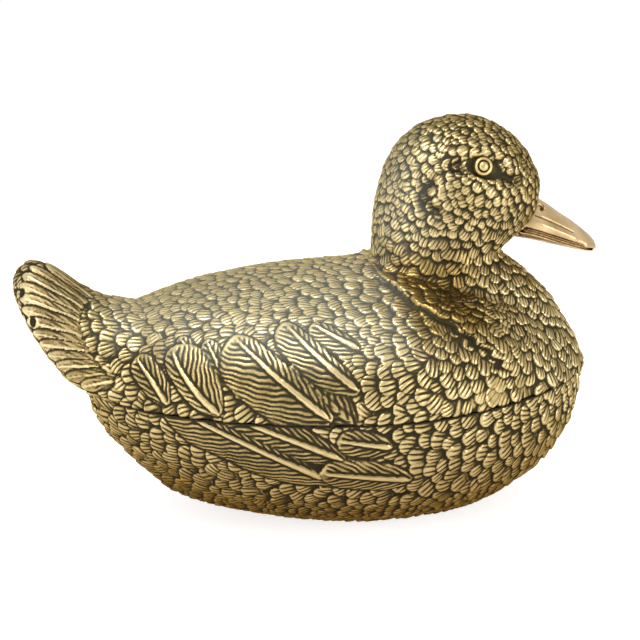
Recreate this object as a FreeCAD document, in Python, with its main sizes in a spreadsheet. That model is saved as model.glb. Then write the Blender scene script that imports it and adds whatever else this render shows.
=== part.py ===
# Duck-shaped ice bucket: a cast brass duck whose back, neck and head lift off as a lid
import FreeCAD
import Part
import math
import os

doc = FreeCAD.newDocument("brass_duck")

# Driving sizes in millimetres and degrees; each is written once, with its alias and its note
SIZES = [
    ("seam_height", 84.0, "height of the parting plane between bowl and lid"),
    ("body_front", 171.0, "breast, ahead of the origin, on the parting plane"),
    ("body_rear", 138.0, "rump, behind the origin, on the parting plane"),
    ("body_half_width", 102.0, "half the width over the wings on the parting plane"),
    ("widest_place", 30.0, "the widest place, ahead of the origin"),
    ("back_rise", 66.0, "top of the back above the parting plane"),
    ("head_rise", 154.6, "crown above the parting plane"),
    ("head_length", 98.0, "back of the head to the forehead"),
    ("head_half_width", 37.5, "half the width over the cheeks"),
    ("nape_place", 38.0, "nape, ahead of the origin"),
    ("tail_length", 98.0, "root of the tail to its tip"),
    ("tail_root", 80.0, "root of the tail, behind the origin"),
    ("tail_rise", 78.0, "tip of the tail above the parting plane"),
    ("tail_half_width", 66.0, "half the width of the tail at its root"),
    ("bill_root", 121.0, "root of the bill inside the face, ahead of the origin"),
    ("bill_length", 57.0, "root of the bill to its tip"),
    ("bill_half_width", 15.5, "half the width of the bill at the face"),
    ("bill_depth", 36.0, "height that the bill drops from its ridge to its tip"),
    ("bill_base_rise", 68.0, "lowest point of the bill above the parting plane"),
    ("bill_stem_radius", 5.0, "radius of the stem that holds the bill in the face"),
    ("bill_stem_length", 24.0, "length of that stem"),
    ("mouth_slot", 1.5, "width of the slot between the mandibles"),
    ("mouth_depth", 3.5, "depth of that slot"),
    ("nostril_radius", 1.3, "radius of the nostrils"),
    ("nostril_place", 134.0, "rear nostrils ahead of the origin"),
    ("nostril_pitch", 5.5, "rear nostril to front nostril"),
    ("nostril_rise", 98.5, "nostrils above the parting plane"),
    ("nostril_inner", 5.0, "bottom of each nostril from the middle"),
    ("wall", 2.5, "thickness of the brass castings"),
    ("bowl_floor", 4.0, "thickness of the floor of the bowl"),
    ("lid_gap", 0.3, "running clearance between lid and bowl"),
    ("lid_overhang", 1.2, "how far the edge of the lid stands past the bowl"),
    ("neck_angle", 34.0, "slope of the joint between neck and back"),
    ("neck_joint_rise", 61.0, "joint at the nape above the parting plane"),
    ("neck_lap", 1.6, "how far the neck casting stands proud of the back at the joint"),
    ("neck_flange_thickness", 3.5, "thickness of each bolting flange in the neck"),
    ("neck_flange_width", 11.0, "how far the bolting flanges reach inwards"),
    ("felt_thickness", 1.6, "felt under the base"),
    ("felt_margin", 5.0, "bare brass round the felt"),
    ("ledge_width", 9.0, "ledge that carries the flange of the ice vessel"),
    ("ledge_thickness", 3.0, "thickness of that ledge"),
    ("vessel_clearance", 4.0, "air between the floor of the bowl and the jacket"),
    ("vessel_wall", 2.0, "plastic wall of the ice vessel"),
    ("vessel_flange", 3.0, "thickness of the vessel's flange"),
    ("jacket_wall", 1.6, "plastic wall of the outer jacket"),
    ("foam_thickness", 5.0, "insulation between jacket and vessel"),
    ("part_gap", 0.3, "clearance between pieces that are laid into each other"),
    ("pan_wall", 2.4, "plastic plate that closes the lid"),
    ("plug_wall", 2.4, "plastic skirt that reaches down into the vessel"),
    ("plug_depth", 7.0, "how far the skirt reaches down"),
    ("plug_gap", 2.6, "room between the skirt and the vessel's wall"),
    ("seal_height", 3.0, "height of the rubber band round the skirt"),
    ("seal_thickness", 1.3, "how far the rubber band stands out of the skirt"),
    ("lid_foam_height", 18.0, "insulation above the pan"),
    ("lid_foam_inset", 22.0, "edge of that insulation from the outline of the lid"),
    ("pillar_radius", 4.2, "radius of the screw pillars under the back"),
    ("screw_radius", 1.5, "radius of the screw shanks"),
    ("screw_head_radius", 3.0, "radius of the screw heads"),
    ("screw_head_height", 1.6, "height of the screw heads"),
    ("screw_length", 6.5, "length of the screw shanks"),
    ("screw_gap", 0.15, "clearance round a screw"),
    ("eye_radius", 5.6, "radius of the eye stud"),
    ("eye_bulge", 2.2, "height of the domed face of the eye"),
    ("eye_rim", 1.0, "height of the straight edge of the eye"),
    ("eye_stem_radius", 2.0, "radius of the stem pressed through the head"),
    ("eye_stem_length", 5.0, "length of that stem"),
    ("pupil_radius", 2.9, "radius of the raised pupil inside its ring"),
    ("pupil_groove", 0.8, "width and depth of the ring cut round the pupil"),
    ("eye_seat_margin", 0.8, "room round the eye in its seat"),
    ("eye_place", 93.4, "eyes ahead of the origin"),
    ("eye_rise", 128.8, "eyes above the parting plane"),
    ("eye_spread", 32.6, "face of each eye seat from the middle"),
    ("eye_tilt", 18.0, "how far the eyes look upwards"),
    ("overrun", 2.0, "how far a cutting shape runs past what it cuts"),
    ("tool_size", 420.0, "edge of the blocks that trim along a plane"),
]

sheet = doc.addObject("Spreadsheet::Sheet", "sizes")
for row, (alias, value, note) in enumerate(SIZES, start=1):
    sheet.set(f"A{row}", note)
    sheet.set(f"B{row}", str(value))
    sheet.setAlias(f"B{row}", alias)
doc.recompute()


def size(alias):
    return float(sheet.get(alias))


seam = size("seam_height")
wall = size("wall")
gap = size("part_gap")
overrun = size("overrun")
base = size("felt_thickness")

# Shape tables: shares of the driving sizes, chosen by hand
# Each bowl row: height, rear, front, half width, then the powers of the rear and front curves
BOWL_SHARES = [
    (0.00, 0.37, 0.68, 0.47, 1.60, 2.10),
    (0.05, 0.49, 0.72, 0.52, 1.62, 2.08),
    (0.18, 0.68, 0.765, 0.73, 1.65, 2.02),
    (0.38, 0.79, 0.885, 0.89, 1.70, 1.93),
    (0.62, 0.915, 0.965, 0.97, 1.76, 1.82),
    (0.82, 0.985, 0.99, 0.99, 1.81, 1.73),
    (1.00, 1.00, 1.00, 1.00, 1.85, 1.68),
]
# Each back row: height above the parting plane, rear, front, half width and the powers
BACK_SHARES = [
    (0.00, 1.00, 1.00, 1.00, 1.85, 1.68),
    (0.24, 0.975, 0.925, 0.985, 1.88, 1.75),
    (0.47, 0.925, 0.85, 0.93, 1.90, 1.82),
    (0.65, 0.83, 0.77, 0.82, 1.92, 1.90),
    (0.79, 0.66, 0.65, 0.665, 1.95, 1.95),
    (0.90, 0.42, 0.52, 0.46, 2.00, 2.00),
    (0.97, 0.16, 0.39, 0.26, 2.00, 2.00),
    (1.00, -0.02, 0.29, 0.11, 2.00, 2.00),
]
# Each neck row: height above the parting plane over the head's rise, rear and front over
# the head's length from the nape, half width over the cheek's
NECK_SHARES = [
    (0.000, 0.02, 1.357, 1.68),
    (0.100, 0.00, 1.295, 1.62),
    (0.200, -0.02, 1.200, 1.46),
    (0.278, -0.03, 1.122, 1.30),
    (0.336, -0.03, 1.030, 1.19),
    (0.388, -0.027, 0.942, 1.10),
    (0.433, -0.020, 0.842, 1.02),
    (0.472, -0.015, 0.772, 0.965),
    (0.511, -0.015, 0.826, 0.945),
    (0.556, -0.017, 0.918, 0.960),
    (0.621, -0.012, 1.000, 0.990),
    (0.686, 0.003, 1.024, 1.000),
    (0.750, 0.031, 1.028, 0.985),
    (0.808, 0.057, 0.985, 0.935),
    (0.867, 0.102, 0.928, 0.840),
    (0.918, 0.168, 0.853, 0.700),
    (0.960, 0.257, 0.755, 0.530),
    (0.986, 0.367, 0.663, 0.340),
    (1.000, 0.470, 0.560, 0.120),
]
# Each tail row: place from root to tip, underside and upper side over the tail's rise, half width
TAIL_SHARES = [
    (0.000, -0.08, 0.56, 1.00),
    (0.256, -0.06, 0.62, 0.81),
    (0.462, -0.02, 0.686, 0.64),
    (0.615, 0.03, 0.782, 0.53),
    (0.718, 0.13, 0.890, 0.465),
    (0.820, 0.295, 0.975, 0.415),
    (0.903, 0.475, 0.995, 0.355),
    (0.964, 0.635, 0.943, 0.270),
    (1.000, 0.757, 0.872, 0.140),
]
# Each bill row: place from root to tip, ridge, mouth and underside over the bill's depth, half width
BILL_SHARES = [
    (0.00, 0.78, 0.50, 0.33, 0.84),
    (0.19, 0.94, 0.44, 0.27, 0.97),
    (0.31, 0.98, 0.385, 0.225, 1.00),
    (0.44, 0.85, 0.31, 0.17, 0.97),
    (0.58, 0.69, 0.23, 0.115, 0.92),
    (0.72, 0.545, 0.155, 0.06, 0.85),
    (0.84, 0.40, 0.095, 0.015, 0.76),
    (0.93, 0.28, 0.065, 0.000, 0.61),
    (0.982, 0.19, 0.075, 0.03, 0.39),
    (1.00, 0.145, 0.09, 0.06, 0.18),
]

# Screw pillars: front ones over the front, rear ones over the rear, and all over the half width
PILLAR_SHARES = (0.2, 0.4, 0.49)
# How far along the neck joint its side screws sit, and how high the stem sits in the bill
NECK_SCREW_SHARES = (0.3, 0.7)
BILL_STEM_SHARE = 0.5
# Rows of the bowl's table that the nested pieces follow
TUB_ROWS = (0, 2, 4, 5, 6)
# The widest height of the tail's ribs
TAIL_SHOULDER_SHARE = 0.16
# A hollow takes at most this share of a ring's half width, and stops short of the closed ends
HOLLOW_LIMIT_SHARE = 0.6
HOLLOW_ROWS_LEFT_OUT = 2
TAIL_ROWS_LEFT_SOLID = 3
BILL_ROWS_AHEAD_OF_SLOT = 2

# Powers of the superellipses: round for the neck, and upper then lower half for tail and bill
NECK_POWER = 2.0
TAIL_POWERS = (2.0, 2.6)
BILL_POWERS = (1.75, 2.0)

# Corners of each ring, which start half a step off the middle line; pieces that nest share a count
BODY_CORNERS = 36
NECK_CORNERS = 32
NECK_HOLLOW_CORNERS = 20
RIB_CORNERS = 24
HALF_STEP = 0.5
SLICE_POINTS = 240


def signed_power(value, power):
    """value raised to a power, keeping its sign."""
    return math.copysign(abs(value) ** power, value)


def place_shape(name, shape):
    """A shape that is worked out in code, as an object of the document."""
    feature = doc.addObject("Part::Feature", name)
    feature.Shape = shape
    return feature


def plan_ring(rear, front, half_width, widest, rear_power, front_power, height, corners):
    """A level egg-shaped ring: a half superellipse behind its widest place and another ahead."""
    points = []
    for step in range(corners):
        angle = math.tau * (step + HALF_STEP) / corners
        along, across = math.cos(angle), math.sin(angle)
        power = front_power if along >= 0 else rear_power
        reach = front - widest if along >= 0 else widest - rear
        x = widest + reach * signed_power(along, 2 / power)
        y = half_width * signed_power(across, 2 / power)
        points.append(FreeCAD.Vector(x, y, height))
    return points


def upright_ring(x, half_width, low, middle, high, top_power, low_power):
    """A ring across the body: an arch above its widest height and a flatter curve below."""
    points = []
    for step in range(RIB_CORNERS):
        angle = math.tau * (step + HALF_STEP) / RIB_CORNERS
        across, up = math.cos(angle), math.sin(angle)
        power = top_power if up >= 0 else low_power
        reach = high - middle if up >= 0 else middle - low
        y = half_width * signed_power(across, 2 / power)
        z = middle + reach * signed_power(up, 2 / power)
        points.append(FreeCAD.Vector(x, y, z))
    return points


def flat_face(*corners):
    return Part.Face(Part.makePolygon([*corners, corners[0]]))


def skin(name, rings):
    """A solid with flat ends, whose sides run in flat facets between rings that match corner by corner."""
    faces = [flat_face(*rings[0]), flat_face(*rings[-1])]
    for low, high in zip(rings, rings[1:]):
        for i in range(len(low)):
            faces.append(flat_face(low[i - 1], low[i], high[i]))
            faces.append(flat_face(low[i - 1], high[i], high[i - 1]))
    shell = Part.Shell(faces)
    shell.sewShape()
    return place_shape(name, Part.Solid(shell))


def body_ring(shares, height, offset, outset=0.0):
    """The body's egg-shaped outline at a table row, moved inwards by offset."""
    _, rear, front, half, rear_power, front_power = shares
    return plan_ring(
        -size("body_rear") * rear + offset - outset,
        size("body_front") * front - offset + outset,
        size("body_half_width") * half - offset + outset,
        size("widest_place"),
        rear_power,
        front_power,
        height,
        BODY_CORNERS,
    )


def bowl_form(name, offset, floor, top_run=0.0, rows=BOWL_SHARES):
    """The underside of the duck, up to the parting plane, moved inwards by offset."""
    rings = [body_ring(row, floor + row[0] * (seam - floor), offset) for row in rows]
    if top_run:
        rings.append(body_ring(rows[-1], seam + top_run, offset))
    return skin(name, rings)


def tub_form(name, offset, floor, top_run=0.0):
    """The plainer form of the pieces nested in the bowl, on some rows of its table."""
    return bowl_form(name, offset, floor, top_run, [BOWL_SHARES[row] for row in TUB_ROWS])


def back_form(name, offset, low_run=0.0, lap=0.0):
    """The arched back above the parting plane, moved inwards by offset or outwards by lap."""
    rise = size("back_rise") - offset + lap
    overhang = size("lid_overhang")
    rings = []
    if low_run:
        rings.append(body_ring(BACK_SHARES[0], seam - low_run, offset, overhang + lap))
    for shares in BACK_SHARES:
        room = min(offset, size("body_half_width") * shares[3] * HOLLOW_LIMIT_SHARE)
        outset = overhang * (1 - shares[0]) + lap
        rings.append(body_ring(shares, seam + shares[0] * rise, room, outset))
    return skin(name, rings)


def neck_ring(shares, offset, height):
    _, rear, front, half = shares
    nape, length = size("nape_place"), size("head_length")
    back, face = nape + rear * length + offset, nape + front * length - offset
    half_width = size("head_half_width") * half - offset
    corners = NECK_HOLLOW_CORNERS if offset > 0 else NECK_CORNERS
    return plan_ring(back, face, half_width, (back + face) / 2, NECK_POWER, NECK_POWER, height, corners)


def neck_form(name, offset, low_run=0.0):
    """Breast, neck and head as one rising form, moved inwards by offset."""
    rows = NECK_SHARES if offset <= 0 else NECK_SHARES[:-HOLLOW_ROWS_LEFT_OUT]
    rings = [neck_ring(row, offset, seam + row[0] * size("head_rise")) for row in rows]
    if low_run:
        rings.insert(0, neck_ring(rows[0], offset, seam - low_run))
    return skin(name, rings)


def tail_form(name, offset):
    """The upturned tail: arches that rise and narrow towards the tip."""
    rows = TAIL_SHARES if not offset else TAIL_SHARES[:-TAIL_ROWS_LEFT_SOLID]
    rings = []
    for place, low, high, half in rows:
        x = -size("tail_root") - place * size("tail_length")
        bottom = seam + low * size("tail_rise") + offset
        top = seam + high * size("tail_rise") - offset
        middle = bottom + (top - bottom) * TAIL_SHOULDER_SHARE
        half_width = size("tail_half_width") * half - offset
        rings.append(upright_ring(x, half_width, bottom, middle, top, *TAIL_POWERS))
    return skin(name, rings)


def bill_form(name, offset):
    """The bill: a ridged upper half and a rounder lower half about the line of the mouth."""
    foot = seam + size("bill_base_rise")
    depth = size("bill_depth")
    rows = BILL_SHARES if not offset else BILL_SHARES[:-BILL_ROWS_AHEAD_OF_SLOT]
    rings = []
    for place, ridge, mouth, under, half in rows:
        x = size("bill_root") + place * size("bill_length")
        half_width = size("bill_half_width") * half - offset
        low, high = foot + under * depth, foot + ridge * depth
        rings.append(upright_ring(x, half_width, low, foot + mouth * depth, high, *BILL_POWERS))
    return skin(name, rings)


def fuse(name, *things):
    feature = doc.addObject("Part::MultiFuse", name)
    feature.Shapes = list(things)
    return feature


def cut(name, thing, *tools):
    """thing with all the tools taken away at once."""
    tool = tools[0] if len(tools) == 1 else fuse(f"{name}_tools", *tools)
    feature = doc.addObject("Part::Cut", name)
    feature.Base = thing
    feature.Tool = tool
    return feature


def common(name, *things):
    feature = doc.addObject("Part::MultiCommon", name)
    feature.Shapes = list(things)
    return feature


def trim_block(name, corner_height, upward, tilt=0.0, pivot=(0.0, 0.0)):
    """A large block above or below a plane, tilted about a level line across the duck."""
    block = doc.addObject("Part::Box", name)
    for side in ("Length", "Width", "Height"):
        block.setExpression(side, "sizes.tool_size")
    half = size("tool_size") / 2
    turn = FreeCAD.Rotation(FreeCAD.Vector(0, 1, 0), tilt)
    drop = 0.0 if upward else -size("tool_size")
    corner = FreeCAD.Vector(-half, -half, corner_height + drop)
    pivot_point = FreeCAD.Vector(pivot[0], 0, pivot[1])
    block.Placement = FreeCAD.Placement(pivot_point + turn.multVec(corner), turn)
    return block


def cylinder(name, radius, height, position, direction=(0, 0, 1)):
    """A cylinder whose radius and height are expressions on the sheet."""
    rod = doc.addObject("Part::Cylinder", name)
    rod.setExpression("Radius", radius)
    rod.setExpression("Height", height)
    turn = FreeCAD.Rotation(FreeCAD.Vector(0, 0, 1), FreeCAD.Vector(*direction))
    rod.Placement = FreeCAD.Placement(FreeCAD.Vector(*position), turn)
    return rod


def plate(name, ring, low, thickness):
    """A flat plate inside a level ring."""
    face = flat_face(*ring)
    face.translate(FreeCAD.Vector(0, 0, low - face.BoundBox.ZMin))
    feature = doc.addObject("Part::Extrusion", name)
    feature.Base = place_shape(f"{name}_outline", face)
    feature.DirMode = "Custom"
    feature.Dir = FreeCAD.Vector(0, 0, 1)
    feature.LengthFwd = thickness
    return feature


def seam_plate(name, offset, low, thickness, outset=0.0):
    """A plate whose edge follows the parting line, moved inwards by offset."""
    return plate(name, body_ring(BOWL_SHARES[-1], seam, offset, outset), low, thickness)


# Offsets inwards from the outline of the bowl, and the heights of the nested floors
ledge_edge = wall + size("ledge_width")
jacket_offset = ledge_edge + gap
foam_offset = jacket_offset + size("jacket_wall") + gap
vessel_offset = foam_offset + size("foam_thickness") + gap
vessel_bore = vessel_offset + size("vessel_wall")
flange_low = seam - size("vessel_flange")
bowl_floor = base + size("bowl_floor")
jacket_floor = bowl_floor + size("vessel_clearance")
foam_floor = jacket_floor + size("jacket_wall") + gap
vessel_floor = foam_floor + size("foam_thickness") + gap
lid_low = seam + size("lid_gap")
pan_top = lid_low + size("pan_wall")
screw_line = wall + size("ledge_width") / 2

# The sloping joint plane between neck and back, through the nape
joint_angle = math.radians(size("neck_angle"))
joint_point = FreeCAD.Vector(size("nape_place"), 0, seam + size("neck_joint_rise"))
joint_normal = FreeCAD.Vector(math.sin(joint_angle), 0, math.cos(joint_angle))
joint_pivot = (joint_point.x, joint_point.z)


def rim_points(offset):
    """Front, rear and the two sides of the outline, moved inwards by offset."""
    side = size("body_half_width") - offset
    return [
        (size("body_front") - offset, 0),
        (-size("body_rear") + offset, 0),
        (size("widest_place"), side),
        (size("widest_place"), -side),
    ]


def upright_rods(name, radius, height, places, low):
    return [cylinder(f"{name}_{i}", radius, height, (x, y, low)) for i, (x, y) in enumerate(places)]


def make_lower_shell():
    """The cast bowl: a hollow shell with a ledge inside its rim."""
    skin = bowl_form("bowl_skin", 0, base)
    hollow = bowl_form("bowl_hollow", wall, bowl_floor, overrun)
    shell = cut("bowl_wall", skin, hollow)
    ledge_low = flange_low - size("ledge_thickness")
    outer = seam_plate("ledge_blank", wall / 2, ledge_low, size("ledge_thickness"))
    bore = seam_plate("ledge_bore", ledge_edge, ledge_low - overrun, size("ledge_thickness") + 2 * overrun)
    ring = cut("ledge", outer, bore)
    holes = upright_rods(
        "ledge_hole", "sizes.screw_radius + sizes.screw_gap", "sizes.ledge_thickness + 2 * sizes.overrun",
        rim_points(screw_line), ledge_low - overrun,
    )
    return cut("lower_shell_body", fuse("bowl_and_ledge", shell, ring), *holes)


def make_base_felt():
    outline = body_ring(BOWL_SHARES[0], 0, size("felt_margin"))
    return plate("felt_pad", outline, 0, base)


def make_vessel_jacket():
    skin = tub_form("jacket_skin", jacket_offset, jacket_floor)
    hollow = tub_form("jacket_hollow", jacket_offset + size("jacket_wall"), jacket_floor + size("jacket_wall"), overrun)
    top = trim_block("jacket_top", flange_low, upward=True)
    return cut("jacket_wall_body", skin, hollow, top)


def make_vessel_foam():
    skin = tub_form("foam_skin", foam_offset, foam_floor)
    inner = foam_offset + size("foam_thickness")
    hollow = tub_form("foam_hollow", inner, foam_floor + size("foam_thickness"), overrun)
    top = trim_block("foam_top", flange_low, upward=True)
    return cut("foam_body", skin, hollow, top)


def make_ice_vessel():
    """The vessel that holds the ice, hung from its flange on the ledge of the bowl."""
    skin = tub_form("vessel_skin", vessel_offset, vessel_floor)
    flange = seam_plate("vessel_flange_plate", wall + 2 * gap, flange_low, size("vessel_flange"))
    hollow = tub_form("vessel_hollow", vessel_bore, vessel_floor + size("vessel_wall"), overrun)
    holes = upright_rods(
        "flange_hole", "sizes.screw_radius + sizes.screw_gap", "sizes.vessel_flange + 2 * sizes.overrun",
        rim_points(screw_line), flange_low - overrun,
    )
    seats = upright_rods(
        "flange_seat", "sizes.screw_head_radius + sizes.screw_gap", "sizes.screw_head_height + sizes.overrun",
        rim_points(screw_line), seam - size("screw_head_height"),
    )
    return cut("vessel_body", fuse("vessel_blank", skin, flange), hollow, *holes, *seats)


def back_and_neck(name, offset, lap=0.0, low_run=0.0):
    back = back_form(f"{name}_back", offset, low_run, lap)
    return fuse(name, back, neck_form(f"{name}_neck", offset, low_run))


def below_joint(name, drop=0.0):
    """The block that takes away everything under the joint plane, lowered by drop."""
    return trim_block(name, -drop, upward=False, tilt=size("neck_angle"), pivot=joint_pivot)


def above_joint(name, lift=0.0):
    return trim_block(name, lift, upward=True, tilt=size("neck_angle"), pivot=joint_pivot)


def neck_screw_places():
    """Points on the joint plane along the middle of the bolting flanges."""
    middle = back_and_neck("flange_middle", wall + size("neck_flange_width") / 2)
    doc.recompute()
    wires = middle.Shape.slice(joint_normal, joint_normal.dot(joint_point))
    outline = max(wires, key=lambda wire: wire.Length).discretize(SLICE_POINTS)
    nape = min(outline, key=lambda point: point.x)
    front = max(outline, key=lambda point: point.x)
    places = [FreeCAD.Vector(nape.x, 0, nape.z)]
    for share in NECK_SCREW_SHARES:
        x = nape.x + share * (front.x - nape.x)
        for side in (-1, 1):
            row = [point for point in outline if point.y * side > 0]
            places.append(min(row, key=lambda point: abs(point.x - x)))
    return places


def neck_screw_holes(name):
    reach = size("neck_flange_thickness") + size("overrun")
    rods = []
    for i, place in enumerate(screw_places):
        rods.append(cylinder(
            f"{name}_{i}", "sizes.screw_radius + sizes.screw_gap",
            "2 * (sizes.neck_flange_thickness + sizes.overrun)", place - joint_normal * reach, joint_normal,
        ))
    return rods


def pan_space(name):
    """The room that the pan takes up inside the rim of the lid."""
    low = seam - overrun
    return seam_plate(name, wall, low, pan_top + gap - low, size("lid_overhang"))


def pillar_places():
    front, rear, spread = PILLAR_SHARES
    y = spread * size("body_half_width")
    return [(x, side * y) for x in (front * size("body_front"), -rear * size("body_rear")) for side in (-1, 1)]


def make_lid_shell():
    """The cast back and tail, with the rim of the lid and the screw pillars under it."""
    form = fuse("lid_form", back_form("lid_back", 0), tail_form("lid_tail", 0))
    inside = fuse("lid_inside", back_form("lid_hollow_back", wall, overrun), tail_form("lid_hollow_tail", wall))
    hollow = cut("lid_hollow", inside, above_joint("lid_flange_face", -size("neck_flange_thickness")))
    opening = back_form("lid_flange_opening", wall + size("neck_flange_width"), overrun)
    rim = trim_block("lid_rim", lid_low, upward=False)
    shell = cut("lid_wall", form, rim, above_joint("lid_joint_face"), hollow, opening)
    rods = upright_rods("pillar", "sizes.pillar_radius", "sizes.back_rise", pillar_places(), pan_top)
    pillars = common("pillars", fuse("pillar_rods", *rods), back_form("pillar_limit", wall / 2))
    bores = upright_rods(
        "pillar_bore", "sizes.screw_radius + sizes.screw_gap", "sizes.screw_length + sizes.overrun",
        pillar_places(), lid_low,
    )
    return cut(
        "lid_shell_body", fuse("lid_and_pillars", shell, pillars), pan_space("lid_pan_space"),
        *bores, *neck_screw_holes("lid_flange_hole"),
    )


def eye_axis(side):
    """The point on the seat of an eye, and the way the eye looks; side is -1 for the right."""
    tilt = math.radians(size("eye_tilt"))
    seat = FreeCAD.Vector(size("eye_place"), side * size("eye_spread"), seam + size("eye_rise"))
    return seat, FreeCAD.Vector(0, side * math.cos(tilt), math.sin(tilt))


def bill_stem(name, radius):
    depth = size("bill_depth") * BILL_STEM_SHARE
    height = seam + size("bill_base_rise") + depth
    return cylinder(name, radius, "sizes.bill_stem_length", (size("bill_root"), 0, height), (1, 0, 0))


def make_head_casting():
    """Head, neck and breast in one hollow casting, bolted to the back from inside."""
    back = back_form("head_back", 0, 0, size("neck_lap"))
    form = fuse("head_form", back, neck_form("head_neck", 0))
    inside = back_and_neck("head_inside", wall, low_run=overrun)
    hollow = cut("head_hollow", inside, below_joint("head_flange_face", -size("neck_flange_thickness")))
    opening = back_and_neck("head_flange_opening", wall + size("neck_flange_width"), low_run=overrun)
    rim = trim_block("head_rim", lid_low, upward=False)
    joint_face = below_joint("head_joint_face")
    bosses, cuts = [], []
    for number, side in enumerate((-1, 1)):
        seat, look = eye_axis(side)
        boss_foot = seat - look * size("eye_stem_length")
        bosses.append(cylinder(
            f"eye_boss_{number}", "sizes.eye_stem_radius + sizes.wall", "sizes.eye_stem_length", boss_foot, look))
        cuts.append(cylinder(
            f"eye_seat_{number}", "sizes.eye_radius + sizes.eye_seat_margin", "sizes.eye_radius", seat, look))
        cuts.append(cylinder(
            f"eye_hole_{number}", "sizes.eye_stem_radius + sizes.screw_gap",
            "sizes.eye_stem_length + 2 * sizes.overrun", boss_foot - look * overrun, look))
    shell = fuse("head_and_bosses", cut("head_wall", form, rim, joint_face, hollow, opening), *bosses)
    cuts.append(bill_stem("bill_stem_hole", "sizes.bill_stem_radius + sizes.screw_gap"))
    return cut(
        "head_body", shell, pan_space("head_pan_space"), *cuts, *neck_screw_holes("head_flange_hole"),
    )


def mouth_cutter():
    """The slot along the mouth: a bent slab outside a narrower core."""
    foot = seam + size("bill_base_rise")
    half = size("mouth_slot") / 2
    line = []
    for place, _, mouth, _, _ in BILL_SHARES[:-BILL_ROWS_AHEAD_OF_SLOT]:
        x = size("bill_root") + place * size("bill_length")
        line.append(FreeCAD.Vector(x, 0, foot + mouth * size("bill_depth")))
    up = FreeCAD.Vector(0, 0, half)
    corners = [point + up for point in line] + [point - up for point in reversed(line)]
    face = flat_face(*corners)
    reach = size("bill_half_width") + overrun
    face.translate(FreeCAD.Vector(0, -reach, 0))
    slab = place_shape("mouth_slab", face.extrude(FreeCAD.Vector(0, 2 * reach, 0)))
    return cut("mouth_slot", slab, bill_form("mouth_core", size("mouth_depth")))


def nostril_cutters():
    rods = []
    for side in (-1, 1):
        for step in range(2):
            x = size("nostril_place") + step * size("nostril_pitch")
            drop = step * size("nostril_radius")
            foot = (x, side * size("nostril_inner"), seam + size("nostril_rise") - drop)
            rods.append(cylinder(
                f"nostril_{len(rods)}", "sizes.nostril_radius", "sizes.bill_half_width", foot, (0, side, 0)))
    return rods


def make_bill():
    """The bill, cut to the curve of the face, with the stem that holds it there."""
    horn = cut("bill_horn", bill_form("bill_form", 0), neck_form("bill_face", -gap))
    stem = bill_stem("bill_stem", "sizes.bill_stem_radius")
    return cut("bill_body", fuse("bill_and_stem", horn, stem), mouth_cutter(), *nostril_cutters())


def make_eye(side, name):
    """An eye: a flat-topped cone with a pupil inside a ring, on a stem through the head."""
    rim = doc.addObject("Part::Cylinder", f"{name}_rim")
    rim.setExpression("Radius", "sizes.eye_radius")
    rim.setExpression("Height", "sizes.eye_rim")
    bulge = doc.addObject("Part::Cone", f"{name}_bulge")
    bulge.setExpression("Radius1", "sizes.eye_radius")
    bulge.setExpression("Radius2", "sizes.pupil_radius")
    bulge.setExpression("Height", "sizes.eye_bulge")
    bulge.setExpression("Placement.Base.z", "sizes.eye_rim")
    stem = doc.addObject("Part::Cylinder", f"{name}_stem")
    stem.setExpression("Radius", "sizes.eye_stem_radius")
    stem.setExpression("Height", "sizes.eye_stem_length")
    stem.setExpression("Placement.Base.z", "-sizes.eye_stem_length")
    ring, pupil = [
        cylinder(f"{name}_{part}", radius, "sizes.eye_bulge", (0, 0, size("eye_rim") + size("eye_bulge")))
        for part, radius in (("ring", "sizes.pupil_radius + sizes.pupil_groove"), ("pupil", "sizes.pupil_radius"))
    ]
    for tool in (ring, pupil):
        tool.setExpression("Placement.Base.z", "sizes.eye_rim + sizes.eye_bulge - 2 * sizes.pupil_groove")
    eye = cut(name, fuse(f"{name}_stud", rim, bulge, stem), cut(f"{name}_groove", ring, pupil))
    seat, look = eye_axis(side)
    eye.Placement = FreeCAD.Placement(seat, FreeCAD.Rotation(FreeCAD.Vector(0, 0, 1), look))
    return eye


def make_lid_pan():
    """The plastic pan that closes the lid, with a skirt that reaches into the vessel."""
    pan = seam_plate("pan_plate", wall + gap, lid_low, size("pan_wall"), size("lid_overhang"))
    skirt_low = seam - size("plug_depth")
    skirt_edge = vessel_bore + size("plug_gap")
    skirt = seam_plate("skirt_blank", skirt_edge, skirt_low, size("plug_depth") + size("lid_gap"))
    room = seam_plate(
        "skirt_room", skirt_edge + size("plug_wall"), skirt_low - overrun, lid_low - skirt_low + overrun)
    holes = upright_rods(
        "pan_hole", "sizes.screw_radius + sizes.screw_gap", "sizes.pan_wall + 2 * sizes.overrun",
        pillar_places(), lid_low - overrun,
    )
    return cut("pan_body", fuse("pan_blank", pan, skirt), room, *holes)


def make_lid_seal():
    low = seam - (size("plug_depth") + size("seal_height")) / 2
    inner = vessel_bore + size("plug_gap") - gap
    outer = vessel_bore + size("plug_gap") - size("seal_thickness")
    band = seam_plate("seal_band", outer, low, size("seal_height"))
    bore = seam_plate("seal_bore", inner, low - overrun, size("seal_height") + 2 * overrun)
    return cut("seal_body", band, bore)


def make_lid_foam():
    slab = seam_plate("foam_slab", size("lid_foam_inset"), pan_top, size("lid_foam_height"))
    holes = upright_rods(
        "foam_hole", "sizes.pillar_radius + sizes.part_gap", "sizes.lid_foam_height + 2 * sizes.overrun",
        pillar_places(), pan_top - overrun,
    )
    drop = size("neck_flange_thickness") + size("screw_head_height") + gap
    return cut("lid_foam_body", slab, above_joint("foam_front", -drop), *holes)


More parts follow.
